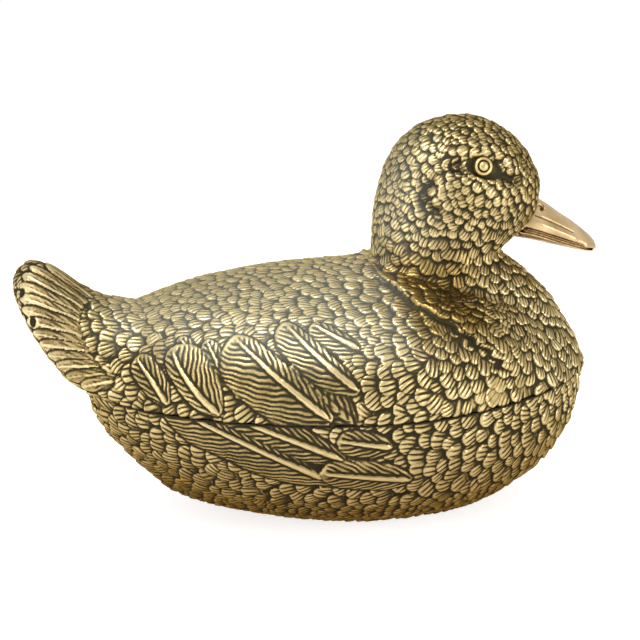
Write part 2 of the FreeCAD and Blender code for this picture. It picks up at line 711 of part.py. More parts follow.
def make_screw():
    """A hexagon screw with its head's flat top at the origin and its shank pointing down."""
    head = doc.addObject("Part::Prism", "screw_head")
    head.Polygon = 6
    head.setExpression("Circumradius", "sizes.screw_head_radius")
    head.setExpression("Height", "sizes.screw_head_height")
    head.setExpression("Placement.Base.z", "-sizes.screw_head_height")
    shank = doc.addObject("Part::Cylinder", "screw_shank")
    shank.setExpression("Radius", "sizes.screw_radius")
    shank.setExpression("Height", "sizes.screw_length")
    shank.setExpression("Placement.Base.z", "-sizes.screw_head_height - sizes.screw_length")
    return fuse("screw", head, shank)


def screw_group(name, screw, places, pointing):
    """Copies of one screw, each with its head's top at a place and its shank pointing away."""
    turn = FreeCAD.Rotation(FreeCAD.Vector(0, 0, -1), pointing)
    copies = []
    for number, place in enumerate(places):
        copy = place_shape(f"{name}_{number}", screw.Shape.copy())
        copy.Placement = FreeCAD.Placement(place, turn)
        copies.append(copy)
    group = doc.addObject("Part::Compound", f"{name}_group")
    group.Links = copies
    return group


screw_places = neck_screw_places()
screw = make_screw()
doc.recompute()

down = FreeCAD.Vector(0, 0, -1)
vessel_screw_places = [FreeCAD.Vector(x, y, seam) for x, y in rim_points(screw_line)]
lid_screw_places = [FreeCAD.Vector(x, y, lid_low - size("screw_head_height")) for x, y in pillar_places()]
head_drop = size("neck_flange_thickness") + size("screw_head_height")
neck_heads = [place - joint_normal * head_drop for place in screw_places]

sub_parts = {
    "lower_shell": make_lower_shell(),
    "base_felt": make_base_felt(),
    "vessel_jacket": make_vessel_jacket(),
    "vessel_foam": make_vessel_foam(),
    "ice_vessel": make_ice_vessel(),
    "vessel_screws": screw_group("vessel_screw", screw, vessel_screw_places, down),
    "lid_shell": make_lid_shell(),
    "head_casting": make_head_casting(),
    "bill": make_bill(),
    "right_eye": make_eye(-1, "eye_a"),
    "left_eye": make_eye(1, "eye_b"),
    "neck_screws": screw_group("neck_screw", screw, neck_heads, joint_normal),
    "lid_pan": make_lid_pan(),
    "lid_seal": make_lid_seal(),
    "lid_foam": make_lid_foam(),
    "lid_screws": screw_group("lid_screw", screw, lid_screw_places, -down),
}
for node, feature in sub_parts.items():
    feature.Label = node
doc.recompute()

faults = [f"{o.Name}: {o.State}" for o in doc.Objects if "Invalid" in o.State or "Error" in o.State]
for node, feature in sub_parts.items():
    shape = feature.Shape
    if shape.isNull() or not shape.isValid():
        faults.append(f"{node}: no valid shape")
if faults:
    raise RuntimeError("; ".join(faults))

os.makedirs("parts", exist_ok=True)
for node, feature in sub_parts.items():
    feature.Shape.exportStep(f"parts/{node}.step")
    box = feature.Shape.BoundBox
    corners = [round(value, 1) for value in (box.XMin, box.XMax, box.YMin, box.YMax, box.ZMin, box.ZMax)]
    print(node, len(feature.Shape.Solids), "solids", round(feature.Shape.Volume), "mm3", corners)
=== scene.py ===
# %% [markdown]
# A cast brass duck whose back, neck and head lift off as the lid of an ice bucket.
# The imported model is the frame: it gives the bodies that move and the shells under the plumage.
# The scene is in metres, in the frame's own axes: +X is the way the duck looks and +Z is up.
# The numbers of the plumage are millimetres, and MM turns them into metres.

import math

import bmesh
import bpy
import numpy as np
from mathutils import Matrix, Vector
from mathutils.bvhtree import BVHTree
from mathutils.geometry import convex_hull_2d


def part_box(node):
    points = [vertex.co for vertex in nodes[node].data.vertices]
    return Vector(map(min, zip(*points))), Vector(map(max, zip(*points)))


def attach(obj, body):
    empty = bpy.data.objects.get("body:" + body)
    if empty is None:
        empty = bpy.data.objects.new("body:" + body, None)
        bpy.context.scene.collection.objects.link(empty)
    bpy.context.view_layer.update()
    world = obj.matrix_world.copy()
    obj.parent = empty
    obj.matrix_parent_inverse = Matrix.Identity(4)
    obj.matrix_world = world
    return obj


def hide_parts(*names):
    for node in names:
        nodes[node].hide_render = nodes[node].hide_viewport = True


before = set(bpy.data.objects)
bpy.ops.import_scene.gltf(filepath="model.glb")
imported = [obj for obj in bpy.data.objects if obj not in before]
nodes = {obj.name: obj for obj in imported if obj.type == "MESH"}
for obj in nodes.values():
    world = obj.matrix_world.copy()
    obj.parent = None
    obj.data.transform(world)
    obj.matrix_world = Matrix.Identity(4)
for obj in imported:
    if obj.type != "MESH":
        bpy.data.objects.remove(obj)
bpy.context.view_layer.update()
bpy.ops.object.select_all(action="DESELECT")
MM = 0.001
rng = np.random.default_rng(11)

# %% [markdown]
# The camera stands a little behind the duck's right side and looks slightly down.
# Its place was fitted to the outline in the photograph, so a pixel of the photograph can later be
# turned into a ray that meets the surface.

# %% Camera
AZIMUTH, ELEVATION = math.radians(-11.0), math.radians(16.9)
DISTANCE = 900 * MM
FOCUS_PX = 1476.0
TARGET = Vector((-5.5, 0, 110)) * MM
TARGET_PX = (305.0, 330.0)
IMAGE_PX = 640.0

away = Vector((
    math.sin(AZIMUTH) * math.cos(ELEVATION), -math.cos(AZIMUTH) * math.cos(ELEVATION), math.sin(ELEVATION)))
camera_data = bpy.data.cameras.new("camera")
camera = bpy.data.objects.new("camera", camera_data)
bpy.context.scene.collection.objects.link(camera)
camera.location = TARGET + away * DISTANCE
turn = (-away).to_track_quat("-Z", "Y")
camera.rotation_euler = turn.to_euler()
camera_data.sensor_width = 36.0
camera_data.lens = FOCUS_PX / IMAGE_PX * camera_data.sensor_width
camera_data.shift_x = (IMAGE_PX / 2 - TARGET_PX[0]) / IMAGE_PX
camera_data.shift_y = (TARGET_PX[1] - IMAGE_PX / 2) / IMAGE_PX
bpy.context.scene.camera = camera
right, up, forward = turn @ Vector((1, 0, 0)), turn @ Vector((0, 1, 0)), -away


def pixel_ray(px, py):
    """The way in which the camera sees a pixel of the photograph."""
    across, down = (px - TARGET_PX[0]), (py - TARGET_PX[1])
    return (right * across / FOCUS_PX - up * down / FOCUS_PX + forward).normalized()


shift = round(camera_data.shift_x, 4), round(camera_data.shift_y, 4)
print("lens", round(camera_data.lens, 2), "shift", *shift)

# %% [markdown]
# A small kit of helpers for meshes and materials comes next.
# Objects are made active one at a time, because an operator acts on all that is selected.

# %% Helpers for objects
MERGE_GAP = 0.02 * MM


def choose(obj):
    """Makes obj the only selected and the active object."""
    bpy.ops.object.select_all(action="DESELECT")
    obj.select_set(True)
    bpy.context.view_layer.objects.active = obj
    return obj


def new_object(name, data):
    obj = bpy.data.objects.new(name, data)
    bpy.context.scene.collection.objects.link(obj)
    return obj


def copy_node(name, new_name):
    """A copy of a CAD node with its own mesh, its split edges merged."""
    obj = choose(new_object(new_name, nodes[name].data.copy()))
    bpy.ops.object.mode_set(mode="EDIT")
    bpy.ops.mesh.select_all(action="SELECT")
    bpy.ops.mesh.remove_doubles(threshold=MERGE_GAP)
    bpy.ops.object.mode_set(mode="OBJECT")
    obj.data.materials.clear()
    return obj


def apply_modifier(obj, kind, **settings):
    choose(obj)
    modifier = obj.modifiers.new(kind.lower(), kind)
    for name, value in settings.items():
        setattr(modifier, name, value)
    bpy.ops.object.modifier_apply(modifier=modifier.name)


def join(objects, name):
    choose(objects[0])
    for obj in objects:
        obj.select_set(True)
    bpy.ops.object.join()
    joined = bpy.context.view_layer.objects.active
    joined.name = name
    return joined


def points_of(mesh):
    places = np.empty(len(mesh.vertices) * 3, np.float32)
    mesh.vertices.foreach_get("co", places)
    return places.reshape(-1, 3).astype(np.float64) / MM


def set_points(mesh, places):
    mesh.vertices.foreach_set("co", (places * MM).astype(np.float32).ravel())
    mesh.update()


def normals_of(mesh):
    ways = np.empty(len(mesh.vertices) * 3, np.float32)
    mesh.vertex_normals.foreach_get("vector", ways)
    return ways.reshape(-1, 3).astype(np.float64)


def edges_of(mesh):
    ends = np.empty(len(mesh.edges) * 2, np.int32)
    mesh.edges.foreach_get("vertices", ends)
    return ends.reshape(-1, 2).T


def tree_of(places, mesh):
    """The surface as a tree that rays can be cast at; places in millimetres."""
    corners = [tuple(place * MM) for place in places]
    return BVHTree.FromPolygons(corners, [tuple(face.vertices) for face in mesh.polygons])


def drop(mesh, lost, kind):
    """Deletes the vertices or faces that are marked as lost; kind is VERTS or FACES."""
    form = bmesh.new()
    form.from_mesh(mesh)
    items = form.verts if kind == "VERTS" else form.faces
    items.ensure_lookup_table()
    bmesh.ops.delete(form, geom=[items[i] for i in np.nonzero(lost)[0]], context=kind)
    form.to_mesh(mesh)
    form.free()


def store(mesh, name, values):
    """Keeps one number at each vertex, which a material can read."""
    layer = mesh.attributes.new(name, "FLOAT", "POINT")
    layer.data.foreach_set("value", values.astype(np.float32))


# %% [markdown]
# The plumage is cast in one with the wall, so it is a relief on a smooth blank and not separate feathers.
# The blank is the outside of the CAD shells. A plate closes each shell at the parting plane, a voxel
# remesh turns it into even quads, and only the outer skin is kept. Sculpting would start the same way.

# %% Blanks of lid and bowl
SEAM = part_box("lower_shell")[1][2] / MM
LID_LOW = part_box("lid_shell")[0][2] / MM
VOXEL = 1.45 * MM
SMOOTH_PASSES = 7
SEAM_ROOM = 0.35
PLATE_MIDDLE, PLATE_SHARE = np.array([16.5, 0.0]), 0.992
PLATE_INSIDE, PLATE_OUTSIDE = 2.0, 2.6


def closing_plate(low, high, name):
    """A flat plate that closes a shell at the parting plane, just inside its outline."""
    places = points_of(nodes["lower_shell"].data)
    edge = places[np.abs(places[:, 2] - SEAM) < 0.01][:, :2]
    outline = edge[convex_hull_2d([tuple(corner) for corner in edge])]
    corners = PLATE_MIDDLE + (outline - PLATE_MIDDLE) * PLATE_SHARE
    steps = len(corners)
    mesh = bpy.data.meshes.new(name)
    rings = [[(x * MM, y * MM, z * MM) for x, y in corners] for z in (low, high)]
    faces = [list(range(steps))[::-1], list(range(steps, 2 * steps))]
    faces += [[i, (i + 1) % steps, steps + (i + 1) % steps, steps + i] for i in range(steps)]
    mesh.from_pydata(rings[0] + rings[1], [], faces)
    return new_object(name, mesh)


def outer_island(obj):
    """Keeps only the connected part of the mesh that holds its highest vertex."""
    mesh = obj.data
    a, b = edges_of(mesh)
    label = np.arange(len(mesh.vertices))
    while True:
        low = np.minimum(label[a], label[b])
        fresh = label.copy()
        np.minimum.at(fresh, a, low)
        np.minimum.at(fresh, b, low)
        fresh = fresh[fresh]
        if np.array_equal(fresh, label):
            break
        label = fresh
    lost = label != label[int(np.argmax(points_of(mesh)[:, 2]))]
    drop(mesh, lost, "VERTS")
    return int(lost.sum())


def make_blank(names, plate, cut_height, keep_above, name):
    obj = join([copy_node(node, f"{name}_{node}") for node in names] + [plate], name)
    apply_modifier(obj, "REMESH", mode="VOXEL", voxel_size=VOXEL)
    lost = outer_island(obj)
    apply_modifier(obj, "SMOOTH", factor=0.5, iterations=SMOOTH_PASSES)
    apply_modifier(obj, "SUBSURF", levels=1, render_levels=1)
    choose(obj)
    bpy.ops.object.mode_set(mode="EDIT")
    bpy.ops.mesh.select_all(action="SELECT")
    bpy.ops.mesh.bisect(
        plane_co=(0, 0, cut_height * MM), plane_no=(0, 0, 1),
        clear_inner=keep_above, clear_outer=not keep_above)
    bpy.ops.object.mode_set(mode="OBJECT")
    print(name, len(obj.data.vertices), "vertices,", lost, "inner ones dropped")
    return obj


lid_plate = closing_plate(LID_LOW - PLATE_OUTSIDE, LID_LOW + PLATE_INSIDE, "lid_plate")
lid_blank = make_blank(["lid_shell", "head_casting"], lid_plate, LID_LOW + SEAM_ROOM, True, "lid_blank")
bowl_plate = closing_plate(SEAM - PLATE_INSIDE, SEAM + PLATE_OUTSIDE, "bowl_plate")
bowl_blank = make_blank(["lower_shell"], bowl_plate, SEAM - SEAM_ROOM, False, "bowl_blank")
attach(lid_blank, "lid")
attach(bowl_blank, "base")

# %% [markdown]
# A cast feather is a low tongue: its root is buried and it rises towards a rounded tip. So each feather
# is a small height field in its own frame, u from root to tip and v across. Where two rounded ones
# overlap, the higher is seen. A long one hides all that it covers, and the rounded ones keep off it.
# A lattice of boxes finds the vertices near a feather.

# %% Find vertices near a point
CELL = 4.0


class Lattice:
    """Vertices sorted into boxes, so that those near a point are found at once."""

    def __init__(self, places):
        self.places = places
        self.low = places.min(axis=0) - CELL
        cells = ((places - self.low) / CELL).astype(np.int64)
        self.size = cells.max(axis=0) + 2
        keys = self.key(cells)
        self.order = np.argsort(keys, kind="stable")
        found, start = np.unique(keys[self.order], return_index=True)
        ends = np.append(start[1:], len(keys))
        self.runs = dict(zip(found.tolist(), zip(start.tolist(), ends.tolist())))

    def key(self, cells):
        return (cells[..., 0] * self.size[1] + cells[..., 1]) * self.size[2] + cells[..., 2]

    def near(self, point, reach):
        low = np.maximum(((point - reach - self.low) / CELL).astype(int), 0)
        high = ((point + reach - self.low) / CELL).astype(int)
        runs = []
        for i in range(low[0], high[0] + 1):
            for j in range(low[1], high[1] + 1):
                for k in range(low[2], high[2] + 1):
                    run = self.runs.get((i * int(self.size[1]) + j) * int(self.size[2]) + k)
                    if run:
                        runs.append(self.order[run[0]:run[1]])
        return np.concatenate(runs) if runs else np.empty(0, np.int64)


# %% [markdown]
# The tips point away from the bill on the head, down the neck and breast, and back along the body.
# One function gives that flow anywhere, and another gives the size of a feather there.

# %% Flow and size of the plumage


def ramp(value, low, high):
    """0 below low, 1 above high and a smooth step between."""
    t = np.clip((value - low) / (high - low), 0, 1)
    return t * t * (3 - 2 * t)


def flow_at(place):
    """The way the tips point, before it is laid on the surface; x, y and z in millimetres."""
    x, y, z = place[..., 0], place[..., 1], place[..., 2]
    front = ramp(x, 28, 70) * ramp(z, 70, 96)
    head = ramp(z, 172, 196) * ramp(x, 20, 40)
    way = np.stack([-1 + 0 * x, 0 * x, -0.12 - 0.35 * ramp(-z, -70, -20)], -1)
    neck = np.stack([-0.5 + 0 * x, 0.002 * y, -1 + 0 * x], -1)
    crown = np.stack([-1 + 0 * x, 0 * x, -0.45 + 0 * x], -1)
    way = way * (1 - front[..., None]) + neck * front[..., None]
    return way * (1 - head[..., None]) + crown * head[..., None]


def length_at(place):
    """Length of the rounded feathers in millimetres."""
    x, z = place[..., 0], place[..., 2]
    length = 11.0 - 4.0 * ramp(-z, -40, -14) - 1.6 * ramp(z, 100, 140) * (1 - ramp(x, 0, 40))
    front = ramp(x, 20, 60) * ramp(z, 88, 120)
    length = length * (1 - front) + 9.6 * front
    head = ramp(z, 140, 190) * ramp(x, 20, 40)
    return length * (1 - head) + 7.0 * head


# %% [markdown]
# The rounded feathers are scattered at their own spacing: a vertex is taken if no taken one is nearer
# than that. The draw is seeded, so every run gives the same duck. The two sides are drawn apart, as on
# a cast piece that was modelled by hand, so only the long feathers of one side mirror the other's.

# %% Scatter the rounded feathers
SPACING_SHARE = 0.66
CANDIDATES = 60000
BOX = 7.0
AROUND = [(i, j, k) for i in (-1, 0, 1) for j in (-1, 0, 1) for k in (-1, 0, 1)]


def scatter(places, allowed):
    """Indices of vertices that hold a rounded feather."""
    picks = rng.permutation(np.nonzero(allowed)[0])[:CANDIDATES]
    spacing = length_at(places[picks]) * SPACING_SHARE
    taken, boxes = [], {}
    for index, room in zip(picks.tolist(), spacing.tolist()):
        x, y, z = places[index]
        a, b, c = int(x // BOX), int(y // BOX), int(z // BOX)
        others = (other for i, j, k in AROUND for other in boxes.get((a + i, b + j, c + k), ()))
        if all((x - p) ** 2 + (y - q) ** 2 + (z - r) ** 2 >= room * room for p, q, r in others):
            boxes.setdefault((a, b, c), []).append((x, y, z))
            taken.append(index)
    return taken


# %% [markdown]
# The long quills of the wing lie above and below the parting line, tips up and back.
# Each is a line of pixels in the photograph: root first, tip last. A ray through each pixel meets
# the blank, and the same line on the other side is its mirror image.

# %% Long feathers of the wing
# Each: pixels from root to tip, widths of its lower and upper vane, its rank, and how far it runs on
# under the parting line; a higher rank lies over a lower one
LID_QUILLS = [
    (((354, 424), (330, 404), (308, 384), (292, 366)), (9.0, 12.0), 0, 0),
    (((358, 391), (325, 362), (297, 340), (285, 324)), (13.5, 6.5), 2, 0),
    (((341, 428), (300, 394), (262, 366), (243, 350), (236, 337)), (22.0, 9.0), 3, 0),
    (((219, 414), (198, 391), (182, 371), (175, 360), (174, 349)), (8.5, 16.0), 4, 0),
    (((168, 404), (157, 388), (148, 372), (137, 358)), (9.0, 8.5), 3, 0),
    (((226, 377), (217, 362), (207, 341)), (6.0, 5.5), 2, 0),
    (((359, 349), (338, 339), (312, 325)), (9.5, 6.0), 1, 0),
    (((196, 366), (188, 350), (180, 338)), (6.0, 5.0), 1, 0),
]
BOWL_QUILLS = [
    (((331, 480), (290, 463), (240, 440), (205, 423), (193, 417)), (17.0, 5.5), 3, 30.0),
    (((343, 459), (300, 443), (262, 428), (250, 424)), (12.5, 10.0), 2, 30.0),
    (((392, 447), (365, 444), (338, 440)), (9.0, 8.0), 2, 0),
    (((410, 478), (370, 476), (322, 472)), (10.5, 10.0), 4, 0),
]
# Each: how far a barb runs towards the tip for each millimetre across, and the space between barbs
LID_BARBS, BOWL_BARBS, TAIL_BARBS = (0.95, 5.7), (1.3, 6.2), (2.3, 7.5)
SMALL_STEP = 2.0
LINE_SHARES = np.linspace(0, 1, 11)


def laid_line(tree, pixels):
    """Points in millimetres where the rays through a smooth line of pixels meet the blank."""
    marks = np.array(pixels, float)
    share = np.append(0, np.cumsum(np.linalg.norm(np.diff(marks, axis=0), axis=1)))
    share /= share[-1]
    degree = min(2, len(marks) - 1)
    fits = [np.polyfit(share, marks[:, axis], degree) for axis in (0, 1)]
    hits = []
    for px, py in zip(*(np.polyval(fit, LINE_SHARES) for fit in fits)):
        hit = tree.ray_cast(camera.location, pixel_ray(px, py))[0]
        if hit is not None and hit.y < 2 * MM:
            hits.append(np.array(hit) / MM)
    if len(hits) < 2:
        print("no line at", pixels[0], "as fewer than two of its rays meet the surface")
        return np.empty((0, 3))
    return spaced(tree, hits)


def spaced(tree, hits):
    """The line through the hits, as points a small step apart that lie on the blank."""
    line = [hits[0]]
    for start, end in zip(hits, hits[1:]):
        steps = max(1, int(np.linalg.norm(end - start) / SMALL_STEP))
        for step in range(1, steps + 1):
            guess = start + (end - start) * step / steps
            line.append(np.array(tree.find_nearest(Vector(guess) * MM)[0]) / MM)
    return np.array(line)


# %% [markdown]
# The tail is a fan of narrow quills that run to its outline and grow smooth towards their tips.
# Their roots and tips are read from the photograph in the same way as the wing's.

# %% Quills of the tail
TAIL_ROOTS = [
    (98, 296), (92, 298), (86, 302), (82, 307), (80, 313), (79, 320), (79, 328),
    (81, 336), (84, 344), (88, 352), (93, 360), (99, 367), (106, 374), (114, 381)]
TAIL_TIPS = [
    (53, 262), (41, 262), (31, 267), (24, 275), (21, 285), (21, 297), (23, 309),
    (28, 321), (34, 333), (41, 344), (49, 355), (58, 366), (68, 377), (79, 387)]
TAIL_VANES = (4.6, 4.6)
TAIL_SMOOTH, TAIL_CARVE, TAIL_RANK = 0.66, 0.5, 0.5
NOTCHES = [(22.0, 293.0), (33.0, 322.0)]
NOTCH_REACH = 2.6


def tail_lines(tree):
    lines = []
    for root, tip in zip(TAIL_ROOTS, TAIL_TIPS):
        middle = ((root[0] + tip[0]) / 2, (root[1] + tip[1]) / 2)
        lines.append(laid_line(tree, [root, middle, tip]))
    return lines


# %% [markdown]
# Barbs leave the quill of a long feather and bend towards its tip, about 6 millimetres apart as measured
# along the quill, and a slow waver keeps them from looking ruled. On the rounded feathers a few curved
# grooves run from root to tip. Both are cut in the relief.

# %% Stamp the feathers
ROUND_RISE = 1.75
QUILL_RISE, QUILL_BASE = 1.3, 0.35
BARB_SHARPNESS = 3.4
# Bounds of the draws for a rounded feather: its length, its half width and its lines
LENGTH_SPREAD, WIDTH_SPREAD, LINE_SPREAD = (0.84, 1.18), (0.46, 0.56), (1.6, 2.4)
FLOW_SPREAD = 0.17


class Relief:
    """Height above the blank, and what the finish needs to know, at each vertex."""

    def __init__(self, obj):
        self.obj = obj
        self.places = points_of(obj.data)
        self.normals = normals_of(obj.data)
        self.lattice = Lattice(self.places)
        self.height = np.zeros(len(self.places))
        self.groove = np.zeros(len(self.places))
        self.tint = np.zeros(len(self.places))
        self.long = np.zeros(len(self.places))
        self.shade = np.zeros(len(self.places))

    def lay(self, chosen, height, groove, tint):
        over = height > self.height[chosen]
        chosen = chosen[over]
        self.height[chosen] = height[over]
        self.groove[chosen] = groove[over]
        self.tint[chosen] = tint

    def cover(self, chosen, height, groove, tint):
        self.height[chosen], self.groove[chosen] = height, groove
        self.tint[chosen], self.long[chosen] = tint, 1.0

    def round_feather(self, index):
        centre, normal = self.places[index], self.normals[index]
        length = float(length_at(centre)) * rng.uniform(*LENGTH_SPREAD)
        half = length * rng.uniform(*WIDTH_SPREAD)
        way = flow_at(centre) + rng.normal(0, FLOW_SPREAD, 3)
        way -= normal * way.dot(normal)
        way /= np.linalg.norm(way) + 1e-9
        side = np.cross(normal, way)
        near = self.lattice.near(centre, length * 0.75)
        gap = self.places[near] - centre
        u, v, depth = gap @ way / length + 0.5, gap @ side / half, gap @ normal
        rim = v * v + (np.maximum(u - 0.5, 0) / 0.5) ** 2
        inside = (rim < 1) & (u > -0.15) & (np.abs(depth) < length * 0.6) & (self.long[near] == 0)
        near, u, v, rim = near[inside], u[inside], v[inside], rim[inside]
        flat = float(ramp(centre[2], 104, 128) * (1 - ramp(centre[0], 20, 44)))
        rise = ROUND_RISE * (length / 8.5) ** 0.8 * (1 - 0.28 * flat)
        edge = ramp(1 - rim, 0, 0.36)
        on_head = float(ramp(centre[2], 165, 190))
        lines = rng.uniform(*LINE_SPREAD) - 0.3 * on_head
        lean, start = rng.normal(0, 0.5), rng.uniform(-0.3, 0.3)
        bend = v * (1.15 - 0.3 * u) + (u - 0.5) * lean + 0.12 * np.sin(3 * u + index) + start
        groove = (0.5 + 0.5 * np.cos(math.tau * bend * lines)) ** 3
        groove = groove * ramp(u, 0.05, 0.35) * ramp(1 - rim, 0.12, 0.30)
        lip = np.exp(-((rim - 0.80) / 0.10) ** 2) * ramp(u, 0.35, 0.65)
        dome = 0.22 + 0.78 * np.sin(np.pi / 2 * np.clip(u / 0.8, 0, 1))
        height = rise * dome * (1 - 0.34 * v * v) * (0.2 + 0.8 * edge)
        self.lay(near, height + rise * (0.10 * lip - (0.22 - 0.06 * on_head) * groove), groove, rng.random())

    def quill(self, line, vanes, rank, barbs, smooth_tip=1.0, root_share=0.72, carve=1.0):
        steps = np.linalg.norm(np.diff(line, axis=0), axis=1)
        along = np.concatenate([[0], np.cumsum(steps)])
        length, half = along[-1], max(vanes)
        slant, pitch = barbs
        near = np.unique(np.concatenate([self.lattice.near(point, half * 1.3) for point in line]))
        place, normal = self.places[near], self.normals[near]
        best = np.full(len(near), np.inf)
        u, v = np.zeros(len(near)), np.zeros(len(near))
        for start, end, base, step in zip(line, line[1:], along, steps):
            way = (end - start) / step
            gap = place - start
            t = gap @ way
            first, last = base == 0, base + step >= length - 1e-6
            t = np.clip(t, -half if first else 0, step + half if last else step)
            off = gap - t[:, None] * way
            far = np.linalg.norm(off, axis=1)
            side = np.cross(normal, way)
            side /= np.linalg.norm(side, axis=1)[:, None] + 1e-9
            closer = far < best
            best = np.where(closer, far, best)
            u = np.where(closer, base + t, u)
            v = np.where(closer, np.sum(off * side, axis=1), v)
        share = u / length
        body = root_share + (1 - root_share) * np.sin(np.pi / 2 * np.clip(share / 0.5, 0, 1))
        tip = np.sqrt(np.clip(1 - (np.maximum(share - 0.72, 0) / 0.30) ** 2, 0, 1))
        root = np.sqrt(np.clip(1 - (np.maximum(0.34 - share, 0) / 0.37) ** 2, 0, 1))
        width = np.where(v > 0, vanes[0], vanes[1]) * body * tip * root + 1e-6
        across = np.abs(v) / width
        inside = (across < 1) & (share > -0.02) & (share < 1.02) & (best < half * 1.25)
        near, u, v, share, across = near[inside], u[inside], v[inside], share[inside], across[inside]
        edge = ramp(1 - across, 0, 0.22)
        waver = 0.9 * np.sin(0.21 * u + 1.7 * rank + (v > 0)) + 0.5 * np.sin(0.57 * u + 0.25 * np.abs(v))
        phase = (u + waver + 1.9 * (v > 0) - np.abs(v) * (slant + 0.8 * across)) / pitch
        groove = (0.5 + 0.5 * np.cos(math.tau * phase)) ** BARB_SHARPNESS
        groove *= ramp(1 - across, -0.05, 0.12) * ramp(share, -0.1, 0.05)
        groove *= 0.72 + 0.28 * np.sin(0.49 * u + 2.1 * (v > 0) + rank)
        groove *= 1 - ramp(share, smooth_tip - 0.12, smooth_tip)
        stem_half = (0.85 + 1.15 * (1 - share)) * min(1.0, half / 10) * ramp(share, -0.03, 0.10) + 1e-6
        stem = np.exp(-(v / stem_half) ** 4) * (1 - ramp(share, 0.88, 1.0)) * (1.0 if rank else 0.3)
        beside = np.exp(-((np.abs(v) - 1.45 * stem_half) / (0.4 * stem_half)) ** 2)
        beside = beside * (1 - ramp(share, 0.8, 1.0))
        rim = np.exp(-((across - 0.90) / 0.06) ** 2)
        height = QUILL_RISE * (0.65 + 0.35 * share) * (1 - 0.30 * across ** 2) * (0.35 + 0.65 * edge)
        height += QUILL_BASE + 0.28 * rank
        groove = groove * (1 - np.clip(stem * 1.3, 0, 1))
        cut = 0.85 * groove + 0.35 * beside - 0.95 * stem - 0.14 * rim
        self.cover(near, height - carve * cut, carve * groove, 0.5 + 0.1 * rank)


# %% [markdown]
# The long feathers are laid first, from the lowest rank to the highest, and then the rounded ones. Where
# the two kinds meet, the rounded ones sink a little and the step is smoothed, so no edge is ragged.
# The wing is shaded darker between its barbs, as old patina stays there.

# %% Relief of lid and bowl
MARGIN_PASSES, MARGIN_DEPTH = 3, 0.6
TAIL_END = -125.0
WING_SHADE, BARB_SHADE = 0.09, 0.28


def blurred(mesh, values, passes):
    """values averaged over neighbouring vertices."""
    a, b = edges_of(mesh)
    count = np.bincount(a, minlength=len(values)) + np.bincount(b, minlength=len(values))
    for _ in range(passes):
        total = np.bincount(a, values[b], len(values)) + np.bincount(b, values[a], len(values))
        values = 0.5 * values + 0.5 * total / np.maximum(count, 1)
    return values


def mirrored(line):
    return line * np.array([1.0, -1.0, 1.0])


def run_on(line, more):
    """The line with a straight end of that many millimetres, past the edge of the skin."""
    if not more:
        return line
    way = (line[-1] - line[-3]) / np.linalg.norm(line[-1] - line[-3])
    return np.vstack([line, [line[-1] + way * step for step in np.arange(SMALL_STEP, more, SMALL_STEP)]])


def emboss(blank, quills, barbs, with_tail):
    relief = Relief(blank)
    tree = tree_of(relief.places, blank.data)
    laid = []
    for pixels, vanes, rank, more in quills:
        line = run_on(laid_line(tree, pixels), more)
        laid += [(line, vanes, rank), (mirrored(line), vanes[::-1], rank)]
    near_fan = tail_lines(tree) if with_tail else []
    fan = [path for line in near_fan for path in (line, mirrored(line))]
    for number, line in enumerate(fan):
        rank = TAIL_RANK * (number // 2 % 2)
        relief.quill(line, TAIL_VANES, rank, TAIL_BARBS, TAIL_SMOOTH, 1.0, TAIL_CARVE)
    for line, vanes, rank in sorted(laid, key=lambda quill: quill[2]):
        relief.quill(line, vanes, rank, barbs)
    picks = scatter(relief.places, relief.long == 0)
    for index in picks:
        relief.round_feather(index)
    margin = np.clip(2.0 * blurred(blank.data, relief.long, MARGIN_PASSES), 0, 1) * (relief.long == 0)
    relief.height *= 1 - MARGIN_DEPTH * margin
    border = blurred(blank.data, relief.long, 2)
    edge = (border > 0.02) & (border < 0.98)
    relief.height = np.where(relief.long > 0, blurred(blank.data, relief.height, 1), relief.height)
    relief.height = np.where(edge, blurred(blank.data, relief.height, 2), relief.height)
    on_wing = relief.long * (relief.places[:, 0] > TAIL_END)
    relief.shade -= on_wing * (WING_SHADE + BARB_SHADE * relief.groove)
    print(blank.name, len(picks), "rounded feathers and", len(laid) + len(fan), "quills")
    return relief


lid_relief = emboss(lid_blank, LID_QUILLS, LID_BARBS, True)
bowl_relief = emboss(bowl_blank, BOWL_QUILLS, BOWL_BARBS, False)

# %% [markdown]
# The head has forms larger than its feathers: a brow over the eye, a full cheek, a dark stripe
# in which the eye sits and a groove behind the cheek. They are soft ridges and valleys along lines.

# %% Forms of the head
# Each: pixels of its line, half width and height
HEAD_FORMS = [
    (((452, 155), (470, 149), (487, 147), (500, 153), (512, 166)), 4.2, 2.2),
    (((452, 166), (464, 163), (474, 162), (486, 159), (496, 163)), 2.6, -2.6),
    (((458, 168), (470, 170), (484, 177), (497, 174), (508, 176), (516, 183)), 3.0, -2.6),
    (((441, 190), (462, 188), (483, 190), (500, 196)), 8.5, 1.8),
    (((432, 182), (424, 192), (426, 206), (436, 213)), 3.4, -2.4),
]
EYE_SEAT = (484.3, 168.4)


def add_form(relief, extra, tree, pixels, half, rise):
    line = laid_line(tree, pixels)
    for path in (line, mirrored(line)):
        near = np.unique(np.concatenate([relief.lattice.near(point, half * 2.2) for point in path]))
        gap = np.full(len(near), np.inf)
        for point in path:
            gap = np.minimum(gap, np.linalg.norm(relief.places[near] - point, axis=1))
        extra[near] += rise * np.exp(-(gap / half) ** 2)


shape = np.zeros(len(lid_relief.places))
lid_tree = tree_of(lid_relief.places, lid_blank.data)
for pixels, half, rise in HEAD_FORMS:
    add_form(lid_relief, shape, lid_tree, pixels, half, rise)
eye_hit = lid_tree.ray_cast(camera.location, pixel_ray(*EYE_SEAT))[0]
print("eye on the skin at", [round(value / MM, 1) for value in eye_hit])
print("forms of the head from", round(shape.min(), 2), "to", round(shape.max(), 2), "mm")

